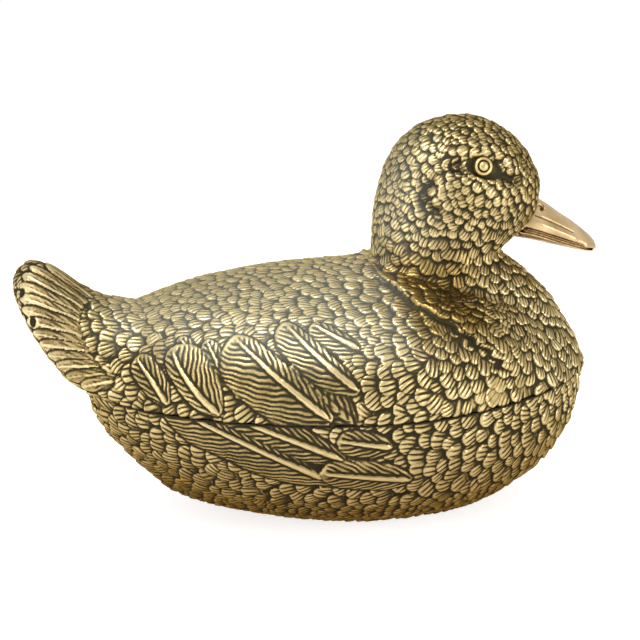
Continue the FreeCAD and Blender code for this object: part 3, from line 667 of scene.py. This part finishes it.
# %% [markdown]
# Each vertex now moves out by its height. How dark the patina is there follows from how deep the vertex
# lies among its neighbours, once over a wide patch and once close by. A thin band along the parting
# line is darkened as well, a painted shadow of the lid's edge.

# %% Raise the relief
SKIN_LIFT = -0.75
CAVITY_MEAN, WIDE_SHARE, CLOSE_SHARE, GROOVE_SHARE, FORM_SHARE = 0.48, 0.34, 0.95, 0.10, 0.20
# The share of the patina's value kept at the middle of the parting line, where a painted shadow darkens it
SEAM_PAINTED_SHADOW = 0.2
SOCKET_REACH, SOCKET_EDGE = 7.4, 1.6
SOCKET_DEPTH, SOCKET_SHADE = 0.5, 0.12
STRIPE_WAY = np.array([0.95, 0.0, -0.31])
STRIPE_SHARE = 0.58


def raise_relief(relief, extra):
    """Moves each vertex out by its height and keeps what the finish reads as attributes."""
    mesh = relief.obj.data
    height = relief.height
    lifted = relief.places + relief.normals * (SKIN_LIFT + height + extra)[:, None]
    set_points(mesh, lifted)
    local = height - blurred(mesh, height, 60)
    fine = height - blurred(mesh, height, 10)
    hollow = np.minimum(extra, 0) + 0.25 * np.maximum(extra, 0)
    cavity = CAVITY_MEAN + WIDE_SHARE * local + CLOSE_SHARE * fine - GROOVE_SHARE * relief.groove
    cavity = np.clip(cavity + FORM_SHARE * hollow + relief.shade, 0, 1)
    # Painted shadow: a thin band along the parting line is darkened, as if the lid's overhanging edge shaded
    # it.
    cavity *= SEAM_PAINTED_SHADOW + (1 - SEAM_PAINTED_SHADOW) * ramp(np.abs(relief.places[:, 2] - SEAM), 0.5, 1.8)
    store(mesh, "cavity", cavity)
    store(mesh, "tint", relief.tint)
    print(relief.obj.name, "relief", round(height.min(), 2), "to", round(height.max(), 2), "mm")


def clear_socket(relief, extra):
    """Flattens the plumage about each eye and along its stripe, where the casting is bare and dark."""
    for side in (-1, 1):
        centre = np.array([eye_hit.x, side * abs(eye_hit.y), eye_hit.z]) / MM
        away = relief.places - centre
        along = away @ STRIPE_WAY
        gap = np.hypot(STRIPE_SHARE * along, np.linalg.norm(away - along[:, None] * STRIPE_WAY, axis=1))
        bare = 1 - ramp(gap, SOCKET_REACH - SOCKET_EDGE, SOCKET_REACH)
        relief.height *= 1 - bare
        relief.shade -= SOCKET_SHADE * bare
        relief.groove *= 1 - bare
        extra[:] = extra * (1 - bare) - SOCKET_DEPTH * bare


NECK_STEP_Z = (96.0, 103.6, 115.3, 126.6, 135.0, 139.0, 144.0, 150.0)
NECK_STEP_X = (104.0, 97.4, 86.6, 71.0, 58.5, 48.0, 42.0, 34.0)
NECK_STEP = 1.5
# How far the foot under the neck's edge sinks, and how much painted shade it gets
FOOT_SINK, FOOT_PAINTED_SHADE = 0.55, 0.35
# Each: its pixel, its reach in millimetres and how much of the plumage it keeps
WORN_PATCHES = [((497, 393), 10.0, 0.35), ((520, 385), 7.0, 0.45), ((478, 402), 7.0, 0.5)]
WORN_RISE, WORN_SHADE = 0.55, 0.22
NOTCH_SHAPE = (1.0, 1.0, 0.62)
NOTCH_SHADE, NOTCH_SINK = 0.5, 0.35


def raise_neck(relief, extra):
    """The plumage of the neck ends in a proud edge over the back, and the sunken foot under it gets painted
    shade.
    """
    x, z = relief.places[:, 0], relief.places[:, 2]
    ahead = x - np.interp(z, NECK_STEP_Z, NECK_STEP_X) + 1.6 * np.sin(0.9 * z) * (z < 140)
    fade = ramp(z, 100, 108) * (1 - ramp(z, 144, 152)) * (1 - ramp(ahead, 6, 26))
    extra += NECK_STEP * ramp(ahead, -1.0, 1.0) * fade
    # Painted shade: the sunken foot under the neck's edge is darkened, as if that edge shaded it
    foot = ramp(ahead, -9, -1) * (1 - ramp(ahead, -1.0, 0.5)) * ramp(z, 100, 108) * (1 - ramp(z, 146, 154))
    relief.height *= 1 - FOOT_SINK * foot
    relief.shade -= FOOT_PAINTED_SHADE * foot


def skin_point(tree, px, py, side):
    """Where the ray of a pixel meets the skin, in millimetres, or its mirror image if side is -1."""
    return np.array(tree.ray_cast(camera.location, pixel_ray(px, py))[0]) / MM * (1, side, 1)


def wear_and_notch(relief, extra, tree):
    """Worn patches near the parting line of the breast, and dark nicks in the rim of the tail."""
    for side in (1, -1):
        for (px, py), reach, share in WORN_PATCHES:
            gap = np.linalg.norm(relief.places - skin_point(tree, px, py, side), axis=1)
            worn = (1 - ramp(gap, reach * 0.5, reach)) * (1 - share)
            relief.height += worn * (WORN_RISE * ROUND_RISE - relief.height)
            relief.groove *= 1 - worn
            relief.shade += WORN_SHADE * worn
        for px, py in NOTCHES:
            gap = (relief.places - skin_point(tree, px, py, side)) * NOTCH_SHAPE
            pit = 1 - ramp(np.linalg.norm(gap, axis=1), NOTCH_REACH * 0.2, NOTCH_REACH)
            relief.height *= 1 - 0.7 * pit
            relief.shade -= NOTCH_SHADE * pit
            extra -= NOTCH_SINK * pit


clear_socket(lid_relief, shape)
raise_neck(lid_relief, shape)
wear_and_notch(lid_relief, shape, lid_tree)
raise_relief(lid_relief, shape)
raise_relief(bowl_relief, np.zeros(len(bowl_relief.places)))


# %% [markdown]
# Lid and bowl meet at the parting plane in a thin dark line: a narrow gap, with painted shadow along it.
# Each skin is turned inwards there by about the thickness of the wall, so the rim looks solid when the lid
# is lifted.

# %% Turn the rims inwards
RIM_SCALE, RIM_MIDDLE = (0.982, 0.974, 1.0), (16.5 * MM, 0, 0)
RIM_DROP = 6.0


def turn_rim(obj, inner_drop):
    """Extrudes the open rim inwards, then up or down inside."""
    choose(obj)
    bpy.ops.object.mode_set(mode="EDIT")
    bpy.ops.mesh.select_mode(type="EDGE")
    bpy.ops.mesh.select_all(action="DESELECT")
    bpy.ops.mesh.select_non_manifold(
        extend=False, use_wire=False, use_boundary=True, use_multi_face=False,
        use_non_contiguous=False, use_verts=False)
    bpy.ops.mesh.extrude_edges_move()
    bpy.ops.transform.resize(value=RIM_SCALE, center_override=RIM_MIDDLE)
    bpy.ops.mesh.extrude_edges_move(TRANSFORM_OT_translate={"value": (0, 0, inner_drop * MM)})
    bpy.ops.mesh.select_mode(type="VERT")
    bpy.ops.object.mode_set(mode="OBJECT")
    obj.data.shade_smooth()


turn_rim(lid_blank, RIM_DROP)
turn_rim(bowl_blank, -RIM_DROP)

# %% [markdown]
# Old brass is bright only where hands and polish reach. In the hollows the patina stays, dark and
# grey-green. The height of the relief is known at every vertex, so it decides between the two,
# and noise breaks up the border; that value also carries painted shadow along the parting line and
# painted shade under the edge of the neck. Low down the brass is browner, the neck is darker, and the
# back and the end of the tail are paler. The breast is paler too, with painted light as from a lamp.
# These zones are set by x and z, in metres.

# %% Aged brass


def node_material(name):
    material = bpy.data.materials.new(name)
    material.use_nodes = True
    tree = material.node_tree
    return material, tree, tree.nodes["Principled BSDF"]


def link(tree, source, socket):
    tree.links.new(source, socket)


def add(tree, kind, **settings):
    node = tree.nodes.new(kind)
    for name, value in settings.items():
        setattr(node, name, value)
    return node


def noise(tree, coordinates, scale, detail=4.0, roughness=0.55):
    node = add(tree, "ShaderNodeTexNoise")
    node.inputs["Scale"].default_value = scale
    node.inputs["Detail"].default_value = detail
    node.inputs["Roughness"].default_value = roughness
    link(tree, coordinates, node.inputs["Vector"])
    return node.outputs["Fac"]


def sums(tree, operation, first, second):
    node = add(tree, "ShaderNodeMath", operation=operation)
    for socket, value in zip(node.inputs, (first, second)):
        if isinstance(value, (int, float)):
            socket.default_value = value
        else:
            link(tree, value, socket)
    return node.outputs[0]


def between(tree, value, low, high, to_low=0.0, to_high=1.0):
    node = add(tree, "ShaderNodeMapRange", interpolation_type="SMOOTHSTEP")
    link(tree, value, node.inputs["Value"])
    for name, number in (("From Min", low), ("From Max", high), ("To Min", to_low), ("To Max", to_high)):
        node.inputs[name].default_value = number
    return node.outputs["Result"]


def colours(tree, factor, stops):
    node = add(tree, "ShaderNodeValToRGB")
    link(tree, factor, node.inputs["Fac"])
    band = node.color_ramp
    while len(band.elements) < len(stops):
        band.elements.new(0.5)
    for element, (place, colour) in zip(band.elements, stops):
        element.position = place
        element.color = (*colour, 1)
    return node.outputs["Color"]


def mixed(tree, factor, first, second, blend="MIX"):
    node = add(tree, "ShaderNodeMix", data_type="RGBA", blend_type=blend)
    for socket, value in ((node.inputs[0], factor), (node.inputs[6], first), (node.inputs[7], second)):
        if isinstance(value, (int, float)):
            socket.default_value = value
        elif isinstance(value, tuple):
            socket.default_value = (*value, 1)
        else:
            link(tree, value, socket)
    return node.outputs[2]


def bump(tree, shader, height, strength, distance):
    node = add(tree, "ShaderNodeBump")
    node.inputs["Strength"].default_value = strength
    node.inputs["Distance"].default_value = distance
    link(tree, height, node.inputs["Height"])
    link(tree, node.outputs["Normal"], shader.inputs["Normal"])


def object_place(tree):
    coordinates = add(tree, "ShaderNodeTexCoord").outputs["Object"]
    split = add(tree, "ShaderNodeSeparateXYZ")
    link(tree, coordinates, split.inputs[0])
    return coordinates, split.outputs


def attribute(tree, name):
    return add(tree, "ShaderNodeAttribute", attribute_name=name).outputs["Fac"]


DARK = (0.030, 0.026, 0.014)
DULL = (0.100, 0.074, 0.030)
BRASS = (0.34, 0.25, 0.10)
BRIGHT = (0.56, 0.445, 0.225)
BACK_DARK = (0.130, 0.132, 0.112)
BACK_DULL = (0.28, 0.255, 0.175)
BACK_BRASS = (0.60, 0.51, 0.285)
BACK_BRIGHT = (0.80, 0.68, 0.40)
BROWN = (0.42, 0.315, 0.215)
OLIVE = (0.54, 0.455, 0.285)
PALE = (0.72, 0.59, 0.36)
# Painted light on the breast: a colour that lifts the metal there above its own tone
BREAST_PAINTED_LIGHT = (1.28, 1.34, 1.52)


# Where each zone of colour begins and where it is full, in metres
BACK_Z, BACK_X, BACK_REAR_X = (0.106, 0.134), (0.085, 0.020), (-0.145, -0.105)
LOW_Z = (0.098, 0.010)
NECK_TOP_Z, NECK_FOOT_Z = (0.178, 0.150), (0.105, 0.135)
NECK_REAR_X, NECK_FRONT_X = (0.030, 0.050), (0.105, 0.072)
BREAST_X, BREAST_LOW_Z, BREAST_TOP_Z = (0.095, 0.150), (0.045, 0.085), (0.170, 0.150)
TAIL_X = (-0.135, -0.168)


def product(tree, *factors):
    """The factors multiplied, so that a zone is full only where all its bounds are."""
    total = factors[0]
    for factor in factors[1:]:
        total = sums(tree, "MULTIPLY", total, factor)
    return total


def stirred(tree, value, pattern, amount):
    """A value moved up and down by a pattern that runs from 0 to 1."""
    return sums(tree, "ADD", value, sums(tree, "MULTIPLY", sums(tree, "SUBTRACT", pattern, 0.5), amount))


def tinted(tree, zone, metal, colour):
    """The metal's colour, multiplied by another inside a zone."""
    return mixed(tree, zone, metal, mixed(tree, 1.0, metal, colour, "MULTIPLY"))


def aged_brass():
    material, tree, shader = node_material("aged_brass_relief")
    coordinates, (x, _, z) = object_place(tree)
    cavity = attribute(tree, "cavity")
    cloud = noise(tree, coordinates, 55, 5)
    speck = noise(tree, coordinates, 900, 3)
    shifted = stirred(tree, cavity, cloud, 0.30)
    shifted = stirred(tree, shifted, speck, 0.22)
    shifted = stirred(tree, shifted, attribute(tree, "tint"), 0.12)
    metal = colours(tree, shifted, [(0.24, DARK), (0.40, DULL), (0.58, BRASS), (0.88, BRIGHT)])
    on_back = product(
        tree, between(tree, z, *BACK_Z), between(tree, x, *BACK_X), between(tree, x, *BACK_REAR_X))
    back_metal = colours(tree, shifted, [
        (0.24, BACK_DARK), (0.42, BACK_DULL), (0.58, BACK_BRASS), (0.88, BACK_BRIGHT)])
    metal = mixed(tree, on_back, metal, back_metal)
    metal = tinted(tree, between(tree, z, *LOW_Z), metal, BROWN)
    on_neck = product(
        tree, between(tree, z, *NECK_TOP_Z), between(tree, z, *NECK_FOOT_Z),
        between(tree, x, *NECK_REAR_X), between(tree, x, *NECK_FRONT_X))
    metal = tinted(tree, on_neck, metal, OLIVE)
    # Painted light: the breast's colour is lifted above the metal's own, standing in for a brighter lamp on
    # it
    painted_light_on_breast = product(
        tree, between(tree, x, *BREAST_X), between(tree, z, *BREAST_LOW_Z), between(tree, z, *BREAST_TOP_Z))
    metal = tinted(tree, painted_light_on_breast, metal, BREAST_PAINTED_LIGHT)
    worn_tail = product(tree, between(tree, x, *TAIL_X), between(tree, shifted, 0.45, 0.65), 0.7)
    metal = mixed(tree, worn_tail, metal, PALE)
    link(tree, metal, shader.inputs["Base Color"])
    link(tree, between(tree, shifted, 0.25, 0.6, 0.75, 1.0), shader.inputs["Metallic"])
    link(tree, between(tree, shifted, 0.3, 0.8, 0.60, 0.30), shader.inputs["Roughness"])
    shader.inputs["Specular Tint"].default_value = (0.55, 0.46, 0.30, 1)
    bump(tree, shader, sums(tree, "ADD", speck, cloud), 0.35, 0.0004)
    return material


brass_relief = aged_brass()

# %% [markdown]
# A mesh of more than about 200,000 triangles is heavy to export, so each skin is cut into slices
# along its length. The normals are kept from the whole skin, or the cuts would show as lines.

# %% Cut the skins into pieces
SLICE_LIMIT = 90000


def sliced(obj, stem, body):
    """Pieces of obj with few enough faces each, in order from the rear to the front."""
    mesh = obj.data
    mesh.materials.clear()
    mesh.materials.append(brass_relief)
    normal_layer = mesh.attributes.new("whole_normal", "FLOAT_VECTOR", "POINT")
    normal_layer.data.foreach_set("vector", normals_of(mesh).astype(np.float32).ravel())
    centres = np.empty(len(mesh.polygons) * 3, np.float32)
    mesh.polygons.foreach_get("center", centres)
    along = centres.reshape(-1, 3)[:, 0]
    count = int(np.ceil(len(along) / SLICE_LIMIT))
    borders = np.quantile(along, np.linspace(0, 1, count + 1))
    borders[-1] += 1
    pieces = []
    for number in range(count):
        keep = (along >= borders[number]) & (along < borders[number + 1])
        piece = new_object(f"{stem}_{number + 1}", mesh.copy())
        drop(piece.data, ~keep, "FACES")
        kept = np.empty(len(piece.data.vertices) * 3, np.float32)
        piece.data.attributes["whole_normal"].data.foreach_get("vector", kept)
        piece.data.shade_smooth()
        piece.data.normals_split_custom_set_from_vertices(kept.reshape(-1, 3).tolist())
        piece.data.attributes.remove(piece.data.attributes["whole_normal"])
        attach(piece, body)
        pieces.append(piece)
    bpy.data.objects.remove(obj, do_unlink=True)
    print(stem, count, "pieces,", len(along), "faces")
    return pieces


lid_pieces = sliced(lid_blank, "lid_plumage", "lid")
bowl_pieces = sliced(bowl_blank, "bowl_plumage", "base")
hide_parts("lid_shell")
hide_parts("head_casting")
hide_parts("lower_shell")

# %% [markdown]
# The bill is bare metal, smooth and rosy. It starts as a copy of the CAD bill, which has the slot of
# the mouth and the nostrils, and a fine remesh with smoothing rounds its facets. The lines of the
# mouth and the nostrils are then cut along pixels of the photograph, and are darker inside.

# %% Bill
BILL_VOXEL = 0.42 * MM
BILL_PASSES = 9

bill = copy_node("bill", "bill_smooth")
apply_modifier(bill, "REMESH", mode="VOXEL", voxel_size=BILL_VOXEL)
apply_modifier(bill, "SMOOTH", factor=0.5, iterations=BILL_PASSES)
bill.data.shade_smooth()
# Each: pixels of a line on the bill, half width, depth where a negative one is a ridge, and how dark it is
BILL_LINES = [
    (((526, 212), (540, 217), (556, 224), (573, 232)), 0.55, 0.7, 0.9),
    (((519, 227), (532, 230), (548, 235), (564, 240), (583, 246)), 1.25, 1.7, 1.0),
    (((523, 225), (518, 226), (516, 230), (519, 235)), 0.9, 1.0, 0.7),
    (((524, 219), (545, 226), (575, 238)), 1.7, -0.6, 0.0),
    (((532, 203), (534, 205)), 0.9, 1.3, 1.0),
    (((540, 205), (544, 208)), 0.8, 1.1, 1.0),
]


def cut_bill_lines(obj):
    """Cuts the mouth, the groove above it and the nostrils, as soft valleys along lines."""
    mesh = obj.data
    places, normals = points_of(mesh), normals_of(mesh)
    tree = tree_of(places, mesh)
    depth, dark = np.zeros(len(places)), np.zeros(len(places))
    for pixels, half, deep, black in BILL_LINES:
        line = laid_line(tree, pixels)
        for path in (line, mirrored(line)) if len(line) else ():
            gap = np.full(len(places), np.inf)
            for start, end in zip(path, path[1:]):
                way = end - start
                t = np.clip((places - start) @ way / (way @ way + 1e-9), 0, 1)
                gap = np.minimum(gap, np.linalg.norm(places - start - t[:, None] * way, axis=1))
            depth += deep * np.exp(-(gap / half) ** 2)
            dark = np.maximum(dark, black * np.exp(-(gap / (half * 0.85)) ** 4))
    set_points(mesh, places - normals * depth[:, None])
    store(mesh, "dark", dark)


cut_bill_lines(bill)
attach(bill, "lid")
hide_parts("bill")
print("bill", len(bill.data.polygons), "faces")

# %% [markdown]
# Bill and eyes have no patina but in their grooves. The bill is rosier than the eyes, and fine scratches
# change how sharply each spot shines.

# %% Polished brass
GROOVE_BROWN = (0.045, 0.028, 0.014)
BILL_TONES = [(0.30, (0.36, 0.24, 0.115)), (0.52, (0.50, 0.355, 0.185)), (0.75, (0.62, 0.46, 0.26))]
EYE_TONES = [(0.30, (0.40, 0.30, 0.13)), (0.52, (0.52, 0.40, 0.18)), (0.75, (0.60, 0.47, 0.23))]


def polished_brass(name, tones):
    material, tree, shader = node_material(name)
    coordinates, _ = object_place(tree)
    cloud = noise(tree, coordinates, 70, 5)
    scratch = noise(tree, coordinates, 700, 4, 0.7)
    tone = colours(tree, cloud, tones)
    edge = add(tree, "ShaderNodeNewGeometry").outputs["Pointiness"]
    hollow = sums(tree, "MAXIMUM", between(tree, edge, 0.485, 0.44), attribute(tree, "dark"))
    tone = mixed(tree, hollow, tone, GROOVE_BROWN)
    link(tree, tone, shader.inputs["Base Color"])
    shader.inputs["Metallic"].default_value = 1.0
    link(tree, between(tree, scratch, 0.3, 0.7, 0.26, 0.44), shader.inputs["Roughness"])
    bump(tree, shader, scratch, 0.12, 0.0002)
    return material


bill.data.materials.append(polished_brass("polished_brass_worn", BILL_TONES))
eye_finish = polished_brass("eye_brass", EYE_TONES)

# %% [markdown]
# Each eye is a turned stud: a domed pupil, a cut ring and a rounded rim. A turned form is drawn as
# half an outline and swept about its axis, which the Screw modifier does.

# %% Eyes
EYE_OUTLINE = [
    (0.0, 2.35), (1.3, 2.28), (2.2, 1.95), (2.75, 1.45), (2.95, 0.9), (3.3, 0.7), (3.65, 0.95),
    (3.9, 1.45), (4.4, 1.75), (5.0, 1.55), (5.45, 0.9), (5.6, 0.1), (5.6, -2.2),
]
EYE_TILT = math.radians(18.0)
EYE_LIFT = 1.6
EYE_GROOVE = 3.25


def make_eye(node, side):
    mesh = bpy.data.meshes.new(f"{node}_stud")
    steps = range(len(EYE_OUTLINE) - 1)
    mesh.from_pydata([(r * MM, 0, z * MM) for r, z in EYE_OUTLINE], [(i, i + 1) for i in steps], [])
    eye = new_object(f"{node}_stud", mesh)
    apply_modifier(eye, "SCREW", steps=48, render_steps=48, use_merge_vertices=True, merge_threshold=1e-6)
    apply_modifier(eye, "SUBSURF", levels=1, render_levels=1)
    bpy.ops.object.mode_set(mode="EDIT")
    bpy.ops.mesh.select_all(action="SELECT")
    bpy.ops.mesh.normals_make_consistent(inside=False)
    bpy.ops.object.mode_set(mode="OBJECT")
    look = Vector((0, side * math.cos(EYE_TILT), math.sin(EYE_TILT)))
    low, high = (Vector(corner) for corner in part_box(node))
    seat = (low + high) / 2 + look * EYE_LIFT * MM
    place = look.to_track_quat("Z", "Y").to_matrix().to_4x4()
    place.translation = seat
    radius = np.linalg.norm(points_of(eye.data)[:, :2], axis=1)
    store(eye.data, "dark", 1 - ramp(np.abs(radius - EYE_GROOVE), 0.25, 0.6))
    eye.data.transform(place)
    eye.data.shade_smooth()
    eye.data.materials.append(eye_finish)
    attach(eye, "lid")
    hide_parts(node)
    print(node, "stands proud to y", round(side * (seat.y / MM + look.y * EYE_OUTLINE[0][1]), 1))


make_eye("right_eye", -1)
make_eye("left_eye", 1)

# %% [markdown]
# What the lid hides is plainer, but each material still has its own grain: moulded plastic, cut foam,
# rubber, felt and zinc-plated steel. The CAD nodes keep their shape and get these finishes.

# %% Finishes of the hidden pieces


def plain_finish(name, low, high, metallic, roughness, scale, strength):
    material, tree, shader = node_material(name)
    coordinates, _ = object_place(tree)
    broad = noise(tree, coordinates, scale / 12, 3)
    fine = noise(tree, coordinates, scale, 5, 0.6)
    link(tree, colours(tree, broad, [(0.35, low), (0.65, high)]), shader.inputs["Base Color"])
    shader.inputs["Metallic"].default_value = metallic
    link(tree, between(tree, fine, 0.3, 0.7, roughness - 0.07, roughness + 0.07), shader.inputs["Roughness"])
    bump(tree, shader, fine, strength, 0.0003)
    return material


plastic = plain_finish("moulded_plastic", (0.66, 0.62, 0.50), (0.74, 0.70, 0.58), 0.0, 0.42, 900, 0.08)
foam = plain_finish("cut_foam", (0.70, 0.68, 0.62), (0.80, 0.78, 0.72), 0.0, 0.92, 700, 0.8)
rubber = plain_finish("seal_rubber", (0.012, 0.012, 0.012), (0.03, 0.03, 0.03), 0.0, 0.62, 1200, 0.2)
felt = plain_finish("base_felt_pile", (0.012, 0.028, 0.016), (0.03, 0.06, 0.035), 0.0, 0.96, 2400, 0.9)
steel = plain_finish("plated_steel", (0.42, 0.42, 0.40), (0.58, 0.58, 0.55), 1.0, 0.38, 1500, 0.1)

FINISHES = {
    "vessel_jacket": plastic, "ice_vessel": plastic, "lid_pan": plastic,
    "vessel_foam": foam, "lid_foam": foam, "lid_seal": rubber, "base_felt": felt,
    "vessel_screws": steel, "lid_screws": steel, "neck_screws": steel,
}
for name, finish in FINISHES.items():
    mesh = nodes[name].data
    for slot_number in range(len(mesh.materials)):
        nodes[name].material_slots[slot_number].material = finish

# %% [markdown]
# The duck stands on a plain white floor with a white backdrop. The camera, the metal's reflections and
# anything seen through glass get pure white, but the floor keeps the duck's own shadow.

# %% Floor, backdrop and lamps
LAMP_AIM = Vector((0, 0, 0.1))
GREY, WHITE = (0.45, 0.45, 0.45), (1.0, 1.0, 1.0)


def area_lamp(name, place, size, power):
    data = bpy.data.lights.new(name, "AREA")
    data.shape = "RECTANGLE"
    data.size, data.size_y = size
    data.energy = power
    lamp = new_object(name, data)
    lamp.location = place
    lamp.rotation_euler = (LAMP_AIM - lamp.location).to_track_quat("-Z", "Y").to_euler()


area_lamp("top_softbox", (-0.25, -0.45, 1.2), (0.6, 0.5), 9.5)
area_lamp("side_softbox", (-1.0, -0.8, 0.5), (0.4, 0.5), 4)
area_lamp("front_softbox", (0.9, -0.9, 0.45), (0.4, 0.5), 5)

bpy.context.scene.view_settings.view_transform = "Standard"
world = bpy.data.worlds.new("studio")
bpy.context.scene.world = world
world.use_nodes = True
sky = world.node_tree
backdrop = sky.nodes["Background"]
backdrop.inputs["Strength"].default_value = 1.0
path = add(sky, "ShaderNodeLightPath")
seen = sums(sky, "MAXIMUM", path.outputs["Is Camera Ray"], path.outputs["Is Glossy Ray"])
seen = sums(sky, "MAXIMUM", seen, path.outputs["Is Transmission Ray"])
link(sky, mixed(sky, seen, GREY, WHITE), backdrop.inputs["Color"])

FLOOR_GLOW = 0.72
FLOOR_RADIUS = 3.0
bpy.ops.mesh.primitive_circle_add(vertices=96, radius=FLOOR_RADIUS, fill_type="NGON", location=(0, 0, 0))
floor = bpy.context.active_object
floor.name = "floor"
floor_paint, floor_tree, floor_shader = node_material("floor_white")
floor_shader.inputs["Base Color"].default_value = (0.92, 0.92, 0.92, 1)
floor_shader.inputs["Roughness"].default_value = 0.9
floor_shader.inputs["Emission Color"].default_value = (1, 1, 1, 1)
floor_path = add(floor_tree, "ShaderNodeLightPath")
glow = sums(floor_tree, "MAXIMUM", floor_path.outputs["Is Camera Ray"], floor_path.outputs["Is Glossy Ray"])
glow = sums(floor_tree, "MULTIPLY", glow, FLOOR_GLOW)
link(floor_tree, glow, floor_shader.inputs["Emission Strength"])
floor.data.materials.append(floor_paint)
